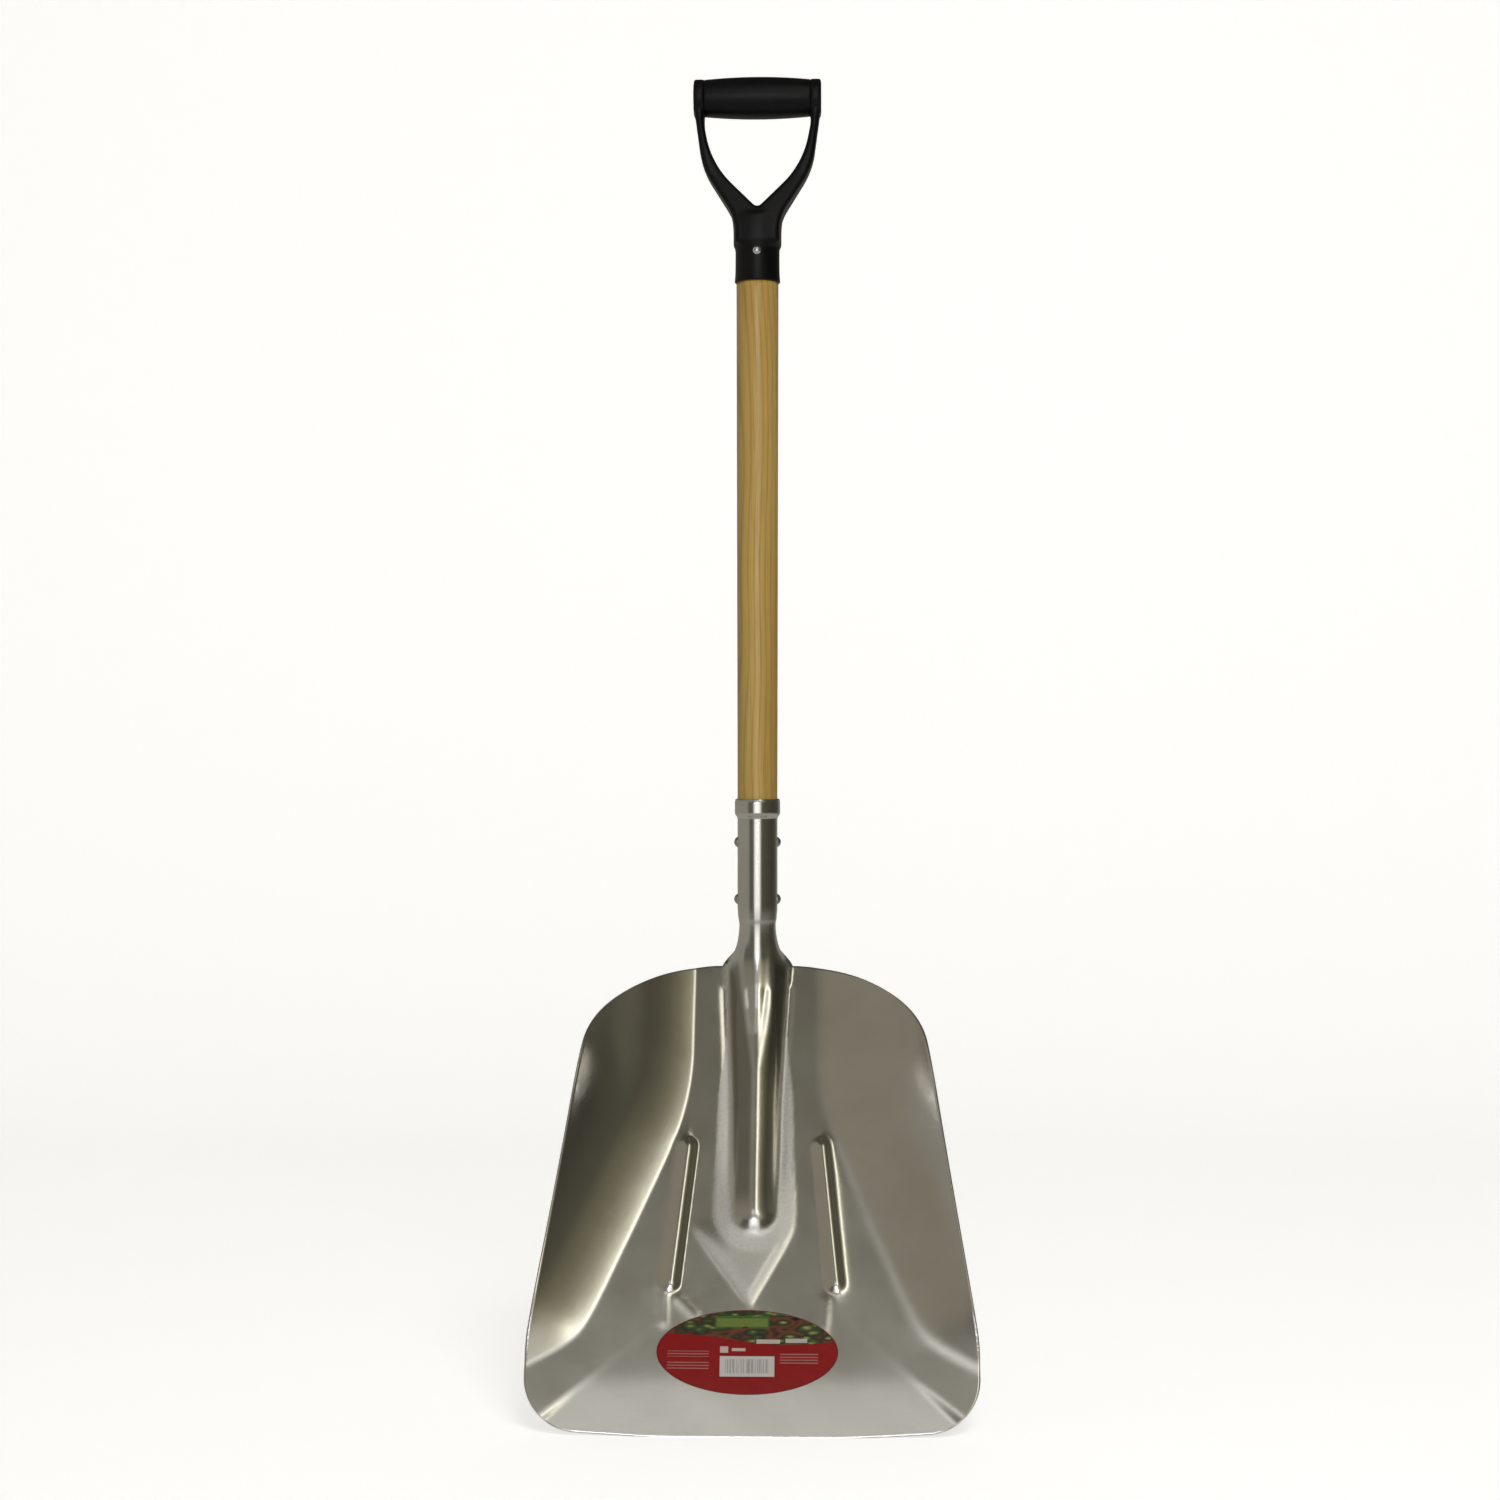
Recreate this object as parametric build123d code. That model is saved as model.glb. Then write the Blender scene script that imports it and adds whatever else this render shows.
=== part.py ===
"""Aluminium scoop shovel with an ash shaft and a moulded D-grip.

Row frame, in millimetres: the origin is the centre of the cutting edge, +Z runs up parallel to the
shaft, +X is to the right as seen from the open face of the scoop, and the open face looks along -Y.
Each function builds one piece of the shovel, and each piece is written to its own STEP file.
"""

from build123d import *
import os
from math import acos, atan2, cos, degrees, hypot, radians, sin, sqrt

# Driving dimensions --------------------------------------------------------------------------------

SHEET = 2.3                # thickness of the aluminium sheet
LIFT = 30.0                # degrees between the scoop floor and the shaft
SHAFT_Y = 205.5            # how far the shaft axis stands behind the cutting edge

# Scoop, in floor coordinates: u across, v up the floor from the cutting edge, n out of its open face.
SCOOP_LENGTH = 427.0
EDGE_SWEEP = (80.0, 0.0)   # where the cutting edge starts to sweep back
FRONT_CORNER = (189.5, 5.6)
HIP = (189.5, 77.5)        # where the straight flank starts to lean inward
SHOULDER = (132.8, SCOOP_LENGTH)
EDGE_SWEEP_RADIUS = 600.0
CORNER_RADIUS = 46.0
HIP_RADIUS = 150.0
SHOULDER_RADIUS = 120.0
FOLD_NECK_U = 56.0         # half width of the flat floor at the neck
FOLD_BEND_V = 343.4        # where the fold line starts to turn outward
FOLD_BEND_RADIUS = 260.0
FOLD_TURN = 22.4           # degrees that the fold line turns
WING_RADIUS = 105.0        # bend radius of the rolled-up side walls
WING_ANGLE = 66.0          # degrees of roll kept before trimming

# Frog: the hollow ridge that runs from the socket down the middle of the floor.
# Each station is (v, half width at the floor, height, radius of the crest).
FROG_STATIONS = (
    (193, 18.5, 8.0, 12.5),
    (297, 27.2, 10.0, 14.5),
    (355, 29.7, 11.6, 15.3),
    (380, 30.6, 13.9, 15.35),
    (400, 31.2, 17.5, 15.35),
)
# From there the ridge turns up into the neck, by tilted stations. Each is (y and z of the crest, tilt in
# degrees, half width at the sheet's edge, depth from the crest to that edge).
NECK_STATIONS = (
    (187.6, 367.0, 24, 31.2, 21.2),
    (189.5, 378.0, 15, 29.5, 25.8),
    (190.1, 388.0, 6, 18.5, 29.5),
)
FOOT_SINK = 0.1            # how far the foot of a ridge reaches below the floor's mid-plane
FOOT_LAP = 0.8             # how far the floor laps under the foot of a ridge

# Two stiffening ribs beside the frog.
RIB_TOP = (57.5, 254.0)
RIB_BOTTOM = (69.5, 130.0)
RIB_HALF_WIDTH = 10.0
RIB_HEIGHT = 4.5
RIB_CREST_RADIUS = 6.0

# Socket: a rolled tube with its seam at the back. Each station is (z, outer radius).
SOCKET_STATIONS = ((399, 16.5), (412, 17.0), (426, 18.0))
SOCKET_ELBOW = 60.0        # degrees each side of the crest where a socket section changes to its sides
SEAM_OPENING = (36, 17, 4)  # degrees left open each side of the back, at those stations
BELL_RADIUS = 20.5
BELL_BOTTOM_Z = 503.0
BELL_SLOPE = 5.0           # height over which the socket widens to the bell
MOUTH_Z = 521.0

# Shaft.
SHAFT_RADIUS_LOW = 17.9
SHAFT_RADIUS_TOP = 18.9
SHAFT_END_Z = 414.0
SHAFT_FIT = 0.15           # radial clearance of the turned ends in the socket and the collar
TENON_RADIUS = 16.2
TENON_TOP_Z = 1040.0

# Rivets.
SOCKET_RIVET_Z = (431.3, 482.6)
SOCKET_RIVET_SHANK = 2.5
SOCKET_RIVET_HEAD = 4.6
SOCKET_RIVET_DOME = 3.0
GRIP_RIVET_Z = 1011.8
GRIP_RIVET_SHANK = 2.2
GRIP_RIVET_HEAD = 3.8
GRIP_RIVET_DOME = 1.8
HOLE_CLEARANCE = 0.1

# D-grip.
COLLAR_BOTTOM_Z = 985.7
COLLAR_FLARE = 14.0        # height over which the collar flares out to its lower rim
COLLAR_TOP_Z = 1040.0
COLLAR_RADIUS = 19.8
COLLAR_RIM_RADIUS = 20.7
BAR_Z = 1151.9
BAR_END_RADIUS = 16.3
BAR_MID_RADIUS = 18.7
BAR_HALF_LENGTH = 47.6
BAR_BORE = 12.6
CHEEK_RADIUS = 16.6
CHEEK_INNER_X = 47.8
CHEEK_OUTER_X = 56.6
SPIGOT_LENGTH = 8.0
SPIGOT_FLAT = 10.0         # half height of the flats that key the bar
ARM_ROOT_Z = 1020.0        # where the arms start, inside the collar
ARM_TAPER_Z = (1034.0, 1084.0)  # where the arms slim down from the collar's depth
ARM_HALF_DEPTH = 13.5
GRIP_ROUNDING = 3.0
ROUNDING_BOTTOM_Z = 1045.0
SHORTEST_ROUNDED_EDGE = 12.0

# Front view of the right arm as ((x, z), corner radius): up its outside, over the cheek, and down its
# inside to the crotch.
YOKE_CORNERS = (
    ((COLLAR_RADIUS, 1041.6), 45),
    ((49.5, 1087.8), 70),
    ((CHEEK_OUTER_X, 1140), 60),
    ((CHEEK_OUTER_X, BAR_Z + CHEEK_RADIUS), None),
    ((CHEEK_INNER_X, BAR_Z + CHEEK_RADIUS), None),
    ((CHEEK_INNER_X, 1127), 40),
    ((40.8, 1091.4), 80),
    ((0, 1050.6), 5),
)

# Label.
LABEL_HALF_WIDTH = 76.0
LABEL_HALF_HEIGHT = 36.0
LABEL_THICKNESS = 0.2
LABEL_CENTRE = (-4.0, 71.0)

FLOOR = Plane(origin=(0, 0, 0), x_dir=(1, 0, 0), z_dir=(0, -cos(radians(LIFT)), sin(radians(LIFT))))
BIG = 400.0


def mirrored(shape):
    """The shape together with its mirror image across the shovel's middle plane."""
    return shape + mirror(shape, about=Plane.YZ)


def turned(profile):
    """A solid of revolution about the shaft axis from a list of edges drawn in the XZ plane."""
    return Pos(0, SHAFT_Y, 0) * revolve(make_face(profile), Axis.Z)


def turned_points(points):
    """A solid of revolution about the shaft axis from (radius, z) points."""
    return turned(Polyline(*[(r, 0, z) for r, z in points], close=True))


# Scoop ---------------------------------------------------------------------------------------------


def scoop_outline():
    """Plan outline of the scoop, looking straight down on its floor."""
    corners = (
        (EDGE_SWEEP, EDGE_SWEEP_RADIUS),
        (FRONT_CORNER, CORNER_RADIUS),
        (HIP, HIP_RADIUS),
        (SHOULDER, SHOULDER_RADIUS),
    )
    points = [(0, SCOOP_LENGTH), (0, 0)] + [corner for corner, _ in corners]
    half = make_face(Polyline(*points, close=True))
    for corner, radius in corners:
        nearest = half.vertices().sort_by_distance(Vector(*corner, 0))[0]
        half = fillet(nearest, radius)
    return mirrored(half)


def fold_points():
    """Ends of the three stretches of the right-hand fold line, and the centre of its bend."""
    turn = radians(FOLD_TURN)
    centre = Vector(FOLD_NECK_U + FOLD_BEND_RADIUS, FOLD_BEND_V)
    top = Vector(FOLD_NECK_U, SCOOP_LENGTH + 20)
    bend_start = Vector(FOLD_NECK_U, FOLD_BEND_V)
    bend_end = centre - Vector(cos(turn), sin(turn)) * FOLD_BEND_RADIUS
    run = (bend_end.Y + 20) / cos(turn)
    bottom = bend_end + Vector(sin(turn), -cos(turn)) * run
    return top, bend_start, bend_end, bottom, centre


def flat_floor():
    """The flat part of the floor, between the two fold lines."""
    top, bend_start, bend_end, bottom, centre = fold_points()
    half_turn = radians(FOLD_TURN / 2)
    bend_middle = centre - Vector(cos(half_turn), sin(half_turn)) * FOLD_BEND_RADIUS
    half = make_face(
        [
            Line((0, top.Y), top),
            Line(top, bend_start),
            ThreePointArc(bend_start, bend_middle, bend_end),
            Line(bend_end, bottom),
            Line(bottom, (0, bottom.Y)),
            Line((0, bottom.Y), (0, top.Y)),
        ]
    )
    return extrude(mirrored(half), SHEET / 2, both=True)


def wing_section(at, heading):
    """Cross-section of the rolled side wall, standing at a fold point and facing outward."""
    inner, outer = WING_RADIUS - SHEET / 2, WING_RADIUS + SHEET / 2

    def on(radius, part):
        angle = radians(WING_ANGLE * part)
        return (radius * sin(angle), WING_RADIUS - radius * cos(angle))

    outline = [
        ThreePointArc(on(inner, 0), on(inner, 0.5), on(inner, 1)),
        Line(on(inner, 1), on(outer, 1)),
        ThreePointArc(on(outer, 1), on(outer, 0.5), on(outer, 0)),
        Line(on(outer, 0), on(inner, 0)),
    ]
    across = (cos(heading), sin(heading), 0)
    along = (sin(heading), -cos(heading), 0)
    return Plane(origin=at, x_dir=across, z_dir=along) * make_face(outline)


def wing():
    """The right-hand side wall, rolled up along the fold line."""
    top, bend_start, bend_end, bottom, centre = fold_points()
    turn = radians(FOLD_TURN)
    rear = extrude(wing_section(top, 0), (top - bend_start).length, dir=(0, -1, 0))
    axis = Axis((centre.X, centre.Y, 0), (0, 0, 1))
    middle = revolve(wing_section(bend_start, 0), axis, FOLD_TURN)
    along = (sin(turn), -cos(turn), 0)
    front = extrude(wing_section(bend_end, turn), (bottom - bend_end).length, dir=along)
    return rear + middle + front


def hat(half_width, height, crest_radius, sink=0.0):
    """Lean of a ridge's straight walls in radians, and their length, for walls tangent to the crest."""
    foot_y = crest_radius - height
    reach = hypot(half_width, foot_y)
    lean = atan2(half_width, foot_y) - acos(crest_radius / reach)
    wall = sqrt(reach**2 - crest_radius**2)
    return lean, wall + sink / sin(lean)


def strip_outline(radius, lean, wall, wrap=None):
    """Outline of a bent strip of sheet whose crest is an arc about the origin, over the lean each side.

    Beyond the crest the walls are straight, or stay on the arc as far as the wrap angle if one is given.
    """

    def points(side, r):
        elbow = Vector(side * r * sin(lean), r * cos(lean))
        if wrap is None:
            return elbow, None, elbow + Vector(side * cos(lean), -sin(lean)) * wall
        between = (lean + wrap) / 2
        middle = Vector(side * r * sin(between), r * cos(between))
        return elbow, middle, Vector(side * r * sin(wrap), r * cos(wrap))

    def leg(start, middle, end):
        return Line(start, end) if middle is None else ThreePointArc(start, middle, end)

    outer, inner = radius + SHEET / 2, radius - SHEET / 2
    right_out, right_in = points(1, outer), points(1, inner)
    left_out, left_in = points(-1, outer), points(-1, inner)
    return [
        leg(left_out[2], left_out[1], left_out[0]),
        ThreePointArc(left_out[0], Vector(0, outer), right_out[0]),
        leg(*right_out),
        Line(right_out[2], right_in[2]),
        leg(right_in[2], right_in[1], right_in[0]),
        ThreePointArc(right_in[0], Vector(0, inner), left_in[0]),
        leg(*left_in),
        Line(left_in[2], left_out[2]),
    ]


def floor_section(v, half_width, height, crest_radius):
    """Section of a ridge across the floor at v, in floor coordinates."""
    lean, wall = hat(half_width, height, crest_radius, FOOT_SINK)
    plane = Plane(origin=(0, v, height - crest_radius), x_dir=(1, 0, 0), z_dir=(0, -1, 0))
    return plane * make_face(strip_outline(crest_radius, lean, wall))


def neck_section(y, z, tilt, half_width, depth):
    """Section of the neck with its crest at y, z, tilted from horizontal by the given degrees."""
    radius = SOCKET_STATIONS[0][1] - SHEET / 2
    lean, wall = hat(half_width, depth, radius)
    back = Vector(0, cos(radians(tilt)), -sin(radians(tilt)))
    down = Vector(0, -sin(radians(tilt)), -cos(radians(tilt)))
    plane = Plane(origin=Vector(0, y, z) + back * radius, x_dir=(1, 0, 0), z_dir=down)
    return plane * make_face(strip_outline(radius, lean, wall))


def socket_section(z, outer_radius, opening):
    """Section of the rolled socket at height z, open at the back by the given degrees each side."""
    plane = Plane(origin=(0, SHAFT_Y, z), x_dir=(1, 0, 0), z_dir=(0, 0, -1))
    outline = strip_outline(outer_radius - SHEET / 2, radians(SOCKET_ELBOW), 0, radians(180 - opening))
    return plane * make_face(outline)


def frog():
    """The frog and the neck as one bent strip, from the frog's tip to the closed part of the socket."""
    sections = [FLOOR * floor_section(*station) for station in FROG_STATIONS]
    sections += [neck_section(*station) for station in NECK_STATIONS]
    sections += [socket_section(*s, o) for s, o in zip(SOCKET_STATIONS, SEAM_OPENING)]
    return loft(sections, ruled=True)


def half_bead_end(half_width, height, crest_radius):
    """Half-turn end of a ridge, about the origin, in floor coordinates, facing -v."""
    section = floor_section(0, half_width, height, crest_radius)
    right = section & Pos(BIG / 2, 0, 0) * Box(BIG, BIG, BIG)
    return revolve(right, Axis.Z, -180)


def rib():
    """The right-hand stiffening rib as a hollow bead, in floor coordinates."""
    along = Vector(*RIB_BOTTOM) - Vector(*RIB_TOP)
    heading = degrees(atan2(along.X, -along.Y))
    shape = (RIB_HALF_WIDTH, RIB_HEIGHT, RIB_CREST_RADIUS)
    middle = extrude(floor_section(0, *shape), along.length, dir=(0, -1, 0))
    lower_end = Pos(0, -along.length, 0) * half_bead_end(*shape)
    upper_end = Rot(0, 0, 180) * half_bead_end(*shape)
    return Pos(*RIB_TOP) * Rot(0, 0, heading) * (middle + lower_end + upper_end)


def rib_opening():
    """The hole in the floor under the right-hand rib."""
    along = Vector(*RIB_BOTTOM) - Vector(*RIB_TOP)
    centre = (Vector(*RIB_BOTTOM) + Vector(*RIB_TOP)) / 2
    heading = degrees(atan2(along.X, -along.Y))
    radius = RIB_HALF_WIDTH - FOOT_LAP
    slot = SlotCenterToCenter(along.length, 2 * radius, rotation=90)
    return extrude(Pos(*centre) * Rot(0, 0, heading) * slot, SHEET, both=True)


def frog_opening():
    """The hole in the floor under the frog."""
    right = [(half_width - FOOT_LAP, v) for v, half_width, _, _ in FROG_STATIONS]
    right.append((NECK_STATIONS[1][3] - FOOT_LAP, SCOOP_LENGTH + 5))
    left = [(-u, v) for u, v in reversed(right)]
    tip_v, tip_half_width = FROG_STATIONS[0][:2]
    plan = make_face(Polyline(*right, *left, close=True))
    plan += Pos(0, tip_v) * Circle(tip_half_width - FOOT_LAP)
    return extrude(plan, SHEET, both=True)


def socket_wall():
    """Wall of the closed part of the socket in the XZ plane, as (outer, inner) lists of (r, z) points."""
    z_low, low = SOCKET_STATIONS[-1]
    bell = [(BELL_RADIUS, BELL_BOTTOM_Z + BELL_SLOPE), (BELL_RADIUS, MOUTH_Z)]
    outer = [(low, z_low), (low, BELL_BOTTOM_Z)] + bell
    inner = [(r - SHEET, z) for r, z in outer]
    return outer, inner


def socket():
    """The closed part of the socket, with its seam at the back."""
    outer, inner = socket_wall()
    profile = make_face(Polyline(*[(r, 0, z) for r, z in outer + inner[::-1]], close=True))
    opening = SEAM_OPENING[-1]
    start = Rot(0, 0, 90 + opening) * profile
    return Pos(0, SHAFT_Y, 0) * revolve(start, Axis.Z, 360 - 2 * opening)


def cross_bore(z, radius):
    """A bore along X through the shaft axis."""
    return Pos(0, SHAFT_Y, z) * Rot(0, 90, 0) * Cylinder(radius, 60)


def scoop_blade():
    """The whole pressed sheet: scoop, frog, ribs and socket."""
    trim = extrude(scoop_outline(), BIG, both=True)
    sheet = (flat_floor() + mirrored(wing())) & trim
    sheet -= frog_opening()
    sheet -= mirrored(rib_opening())
    sheet += mirrored(rib())
    tip_v, *tip = FROG_STATIONS[0]
    sheet += Pos(0, tip_v, 0) * half_bead_end(*tip)
    blade = FLOOR * sheet + frog() + socket()
    for z in SOCKET_RIVET_Z:
        blade -= cross_bore(z, SOCKET_RIVET_SHANK + HOLE_CLEARANCE)
    return blade


def product_label():
    """The thin oval label on the floor."""
    oval = Ellipse(LABEL_HALF_WIDTH, LABEL_HALF_HEIGHT)
    return FLOOR * Pos(*LABEL_CENTRE, SHEET / 2) * extrude(oval, LABEL_THICKNESS)


# Shaft and rivets ----------------------------------------------------------------------------------


def handle_shaft():
    """The wooden shaft, turned down where it enters the socket and the grip's collar."""
    socket_bore = SOCKET_STATIONS[-1][1] - SHEET - SHAFT_FIT
    low_bore = SOCKET_STATIONS[1][1] - SHEET - SHAFT_FIT
    shaft = turned_points(
        [
            (0, SHAFT_END_Z),
            (low_bore - 1, SHAFT_END_Z),
            (low_bore, SHAFT_END_Z + 1),
            (socket_bore, SOCKET_STATIONS[-1][0] + 3),
            (socket_bore, BELL_BOTTOM_Z + 0.5),
            (SHAFT_RADIUS_LOW, BELL_BOTTOM_Z + 6.5),
            (SHAFT_RADIUS_TOP, COLLAR_BOTTOM_Z),
            (TENON_RADIUS, COLLAR_BOTTOM_Z),
            (TENON_RADIUS, TENON_TOP_Z - 2),
            (TENON_RADIUS - 2, TENON_TOP_Z),
            (0, TENON_TOP_Z),
        ]
    )
    for z in SOCKET_RIVET_Z:
        shaft -= cross_bore(z, SOCKET_RIVET_SHANK + HOLE_CLEARANCE)
    grip_bore = Cylinder(GRIP_RIVET_SHANK + HOLE_CLEARANCE, 60)
    return shaft - Pos(0, SHAFT_Y, GRIP_RIVET_Z) * Rot(90, 0, 0) * grip_bore


def rivet(seat_radius, shank_radius, head_radius, dome):
    """A rivet along Z with a domed head at each end, for a round part of the given radius."""
    ball_radius = (head_radius**2 + dome**2) / (2 * dome)
    ball_offset = seat_radius + dome - ball_radius
    body = Cylinder(shank_radius, 2 * seat_radius)
    for side in (1, -1):
        head = Pos(0, 0, side * ball_offset) * Sphere(ball_radius)
        head += Pos(0, 0, side * (seat_radius - 1)) * Cylinder(head_radius, 2)
        body += head & Pos(0, 0, side * (seat_radius + 4)) * Box(30, 30, 12)
    return body & Cylinder(head_radius, 2 * (seat_radius + dome) + 2)


def socket_rivet(z):
    """A rivet through the socket and the shaft, from side to side, with heads bedded on the socket."""
    seat = SOCKET_STATIONS[-1][1]
    body = rivet(seat, SOCKET_RIVET_SHANK, SOCKET_RIVET_HEAD, SOCKET_RIVET_DOME)
    body = Pos(0, SHAFT_Y, z) * Rot(0, 90, 0) * body
    bed = Pos(0, SHAFT_Y, z) * (Cylinder(seat, 12) - Rot(0, 90, 0) * Cylinder(SOCKET_RIVET_SHANK, 60))
    return body - bed


def grip_rivet():
    """The rivet through the grip's collar and the shaft, from front to back."""
    seat = COLLAR_RADIUS
    body = rivet(seat, GRIP_RIVET_SHANK, GRIP_RIVET_HEAD, GRIP_RIVET_DOME)
    body = Pos(0, SHAFT_Y, GRIP_RIVET_Z) * Rot(90, 0, 0) * body
    ring = Cylinder(seat, 12) - Rot(90, 0, 0) * Cylinder(GRIP_RIVET_SHANK, 60)
    return body - Pos(0, SHAFT_Y, GRIP_RIVET_Z) * ring


# D-grip --------------------------------------------------------------------------------------------


def collar_outline():
    """Half outline of the collar's outside in the XZ plane: straight, then flaring to its lower rim."""
    rim, waist, top = COLLAR_BOTTOM_Z, COLLAR_BOTTOM_Z + COLLAR_FLARE, COLLAR_TOP_Z
    flare = Spline(
        (COLLAR_RIM_RADIUS, 0, rim),
        (COLLAR_RADIUS, 0, waist),
        tangents=((-0.1, 0, 1), (0, 0, 1)),
    )
    return [
        Line((0, 0, rim), (COLLAR_RIM_RADIUS, 0, rim)),
        flare,
        Line((COLLAR_RADIUS, 0, waist), (COLLAR_RADIUS, 0, top)),
        Line((COLLAR_RADIUS, 0, top), (0, 0, top)),
        Line((0, 0, top), (0, 0, rim)),
    ]


def yoke_front_view():
    """Front view of the collar's top, the two arms and the cheeks, with x across and y up."""
    right = [(COLLAR_RADIUS, ARM_ROOT_Z)] + [corner for corner, _ in YOKE_CORNERS]
    left = [(-x, z) for x, z in reversed(right[:-1])]
    view = make_face(Polyline(*right, *left, close=True))
    for (x, z), radius in YOKE_CORNERS:
        if radius is None:
            continue
        for side in (1, -1) if x else (1,):
            nearest = view.vertices().sort_by_distance(Vector(side * x, z, 0))[0]
            view = fillet(nearest, radius)
    return view


def yoke_side_view():
    """Side view of the yoke: round at the cheeks, slimmer along the arms, as deep as the collar below."""
    arm, collar, root = ARM_HALF_DEPTH, COLLAR_RADIUS, ARM_ROOT_Z
    taper_start, taper_end = ARM_TAPER_Z
    half = make_face(
        [
            Line((0, root), (collar, root)),
            Line((collar, root), (collar, taper_start)),
            Spline((collar, taper_start), (arm, taper_end), tangents=((0, 1), (0, 1))),
            Line((arm, taper_end), (arm, BAR_Z)),
            Line((arm, BAR_Z), (0, BAR_Z)),
            Line((0, BAR_Z), (0, root)),
        ]
    )
    return mirrored(half) + Pos(0, BAR_Z) * Circle(CHEEK_RADIUS)


def keyed_round(radius, flat, length):
    """A round bar along X with a flat above and below, for the spigots and the bar's bore."""
    return Rot(0, 90, 0) * Cylinder(radius, length) & Box(length, 4 * radius, 2 * flat)


def grip_yoke():
    """The moulded collar, arms and cheeks, with a keyed spigot reaching into each end of the bar."""
    front = Plane(origin=(0, SHAFT_Y, 0), x_dir=(1, 0, 0), z_dir=(0, -1, 0))
    side = Plane(origin=(0, SHAFT_Y, 0), x_dir=(0, 1, 0), z_dir=(1, 0, 0))
    arms = front * extrude(yoke_front_view(), 2 * COLLAR_RADIUS, both=True)
    arms &= side * extrude(yoke_side_view(), 2 * CHEEK_OUTER_X, both=True)
    above = arms.edges().filter_by_position(Axis.Z, ROUNDING_BOTTOM_Z, BAR_Z + 2 * CHEEK_RADIUS)
    long_edges = above.filter_by(lambda edge: edge.length > SHORTEST_ROUNDED_EDGE)
    arms = fillet(long_edges, GRIP_ROUNDING)
    yoke = arms + turned(collar_outline())
    for sign in (1, -1):
        x = sign * (CHEEK_INNER_X + 0.5 - SPIGOT_LENGTH / 2)
        spigot = keyed_round(BAR_BORE - SHAFT_FIT, SPIGOT_FLAT - SHAFT_FIT, SPIGOT_LENGTH + 1)
        yoke += Pos(x, SHAFT_Y, BAR_Z) * spigot
    bore_radius = TENON_RADIUS + SHAFT_FIT
    bore_top = TENON_TOP_Z + 0.5
    yoke -= turned_points(
        [(0, COLLAR_BOTTOM_Z), (bore_radius, COLLAR_BOTTOM_Z), (bore_radius, bore_top), (0, bore_top)]
    )
    rivet_bore = Rot(90, 0, 0) * Cylinder(GRIP_RIVET_SHANK + HOLE_CLEARANCE, 60)
    return yoke - Pos(0, SHAFT_Y, GRIP_RIVET_Z) * rivet_bore


def grip_bar():
    """The barrel-shaped bar, hollow, with flats in its bore that stop it turning on the spigots."""
    half = BAR_HALF_LENGTH
    profile = make_face(
        [
            Line((-half, 0), (-half, BAR_END_RADIUS)),
            ThreePointArc((-half, BAR_END_RADIUS), (0, BAR_MID_RADIUS), (half, BAR_END_RADIUS)),
            Line((half, BAR_END_RADIUS), (half, 0)),
            Line((half, 0), (-half, 0)),
        ]
    )
    bar = revolve(profile, Axis.X) - keyed_round(BAR_BORE, SPIGOT_FLAT, 4 * half)
    return Pos(0, SHAFT_Y, BAR_Z) * bar


# Write every piece ---------------------------------------------------------------------------------

os.makedirs("parts", exist_ok=True)
export_step(scoop_blade(), "parts/scoop_blade.step")
export_step(product_label(), "parts/product_label.step")
export_step(handle_shaft(), "parts/handle_shaft.step")
export_step(socket_rivet(SOCKET_RIVET_Z[0]), "parts/socket_rivet_lower.step")
export_step(socket_rivet(SOCKET_RIVET_Z[1]), "parts/socket_rivet_upper.step")
export_step(grip_yoke(), "parts/grip_yoke.step")
export_step(grip_bar(), "parts/grip_bar.step")
export_step(grip_rivet(), "parts/grip_rivet.step")
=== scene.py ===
"""Looks of the aluminium scoop shovel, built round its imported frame.

Shapes are worked out in millimetres and written to the meshes in metres. Floor coordinates are u across
the scoop, v up its floor from the cutting edge and n out of its open face.
"""

import math

import bpy
import numpy as np
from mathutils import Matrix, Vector


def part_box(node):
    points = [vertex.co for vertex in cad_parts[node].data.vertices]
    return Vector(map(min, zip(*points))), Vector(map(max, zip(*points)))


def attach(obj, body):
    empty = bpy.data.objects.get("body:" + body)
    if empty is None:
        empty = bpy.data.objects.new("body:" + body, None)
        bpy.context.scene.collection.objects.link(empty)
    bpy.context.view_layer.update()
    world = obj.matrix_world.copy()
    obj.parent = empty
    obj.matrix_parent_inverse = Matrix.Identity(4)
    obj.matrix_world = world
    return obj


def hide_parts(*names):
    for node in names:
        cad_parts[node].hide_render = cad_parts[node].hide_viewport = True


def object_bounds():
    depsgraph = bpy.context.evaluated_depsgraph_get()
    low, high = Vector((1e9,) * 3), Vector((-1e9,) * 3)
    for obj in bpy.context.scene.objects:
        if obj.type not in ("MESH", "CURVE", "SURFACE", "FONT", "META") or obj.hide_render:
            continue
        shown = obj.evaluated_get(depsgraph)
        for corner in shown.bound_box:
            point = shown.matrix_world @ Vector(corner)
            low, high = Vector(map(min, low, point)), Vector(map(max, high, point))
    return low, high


MM = 0.001

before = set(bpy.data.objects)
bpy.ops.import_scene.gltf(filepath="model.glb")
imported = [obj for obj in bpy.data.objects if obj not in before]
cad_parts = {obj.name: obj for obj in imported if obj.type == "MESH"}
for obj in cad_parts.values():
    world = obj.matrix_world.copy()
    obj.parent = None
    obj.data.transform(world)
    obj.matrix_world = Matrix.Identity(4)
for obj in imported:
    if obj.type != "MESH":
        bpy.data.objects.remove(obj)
cad_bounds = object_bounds()


def box_mm(node):
    """Lowest and highest corners of a CAD node in millimetres."""
    lowest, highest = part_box(node)
    return np.array(lowest) / MM, np.array(highest) / MM


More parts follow.
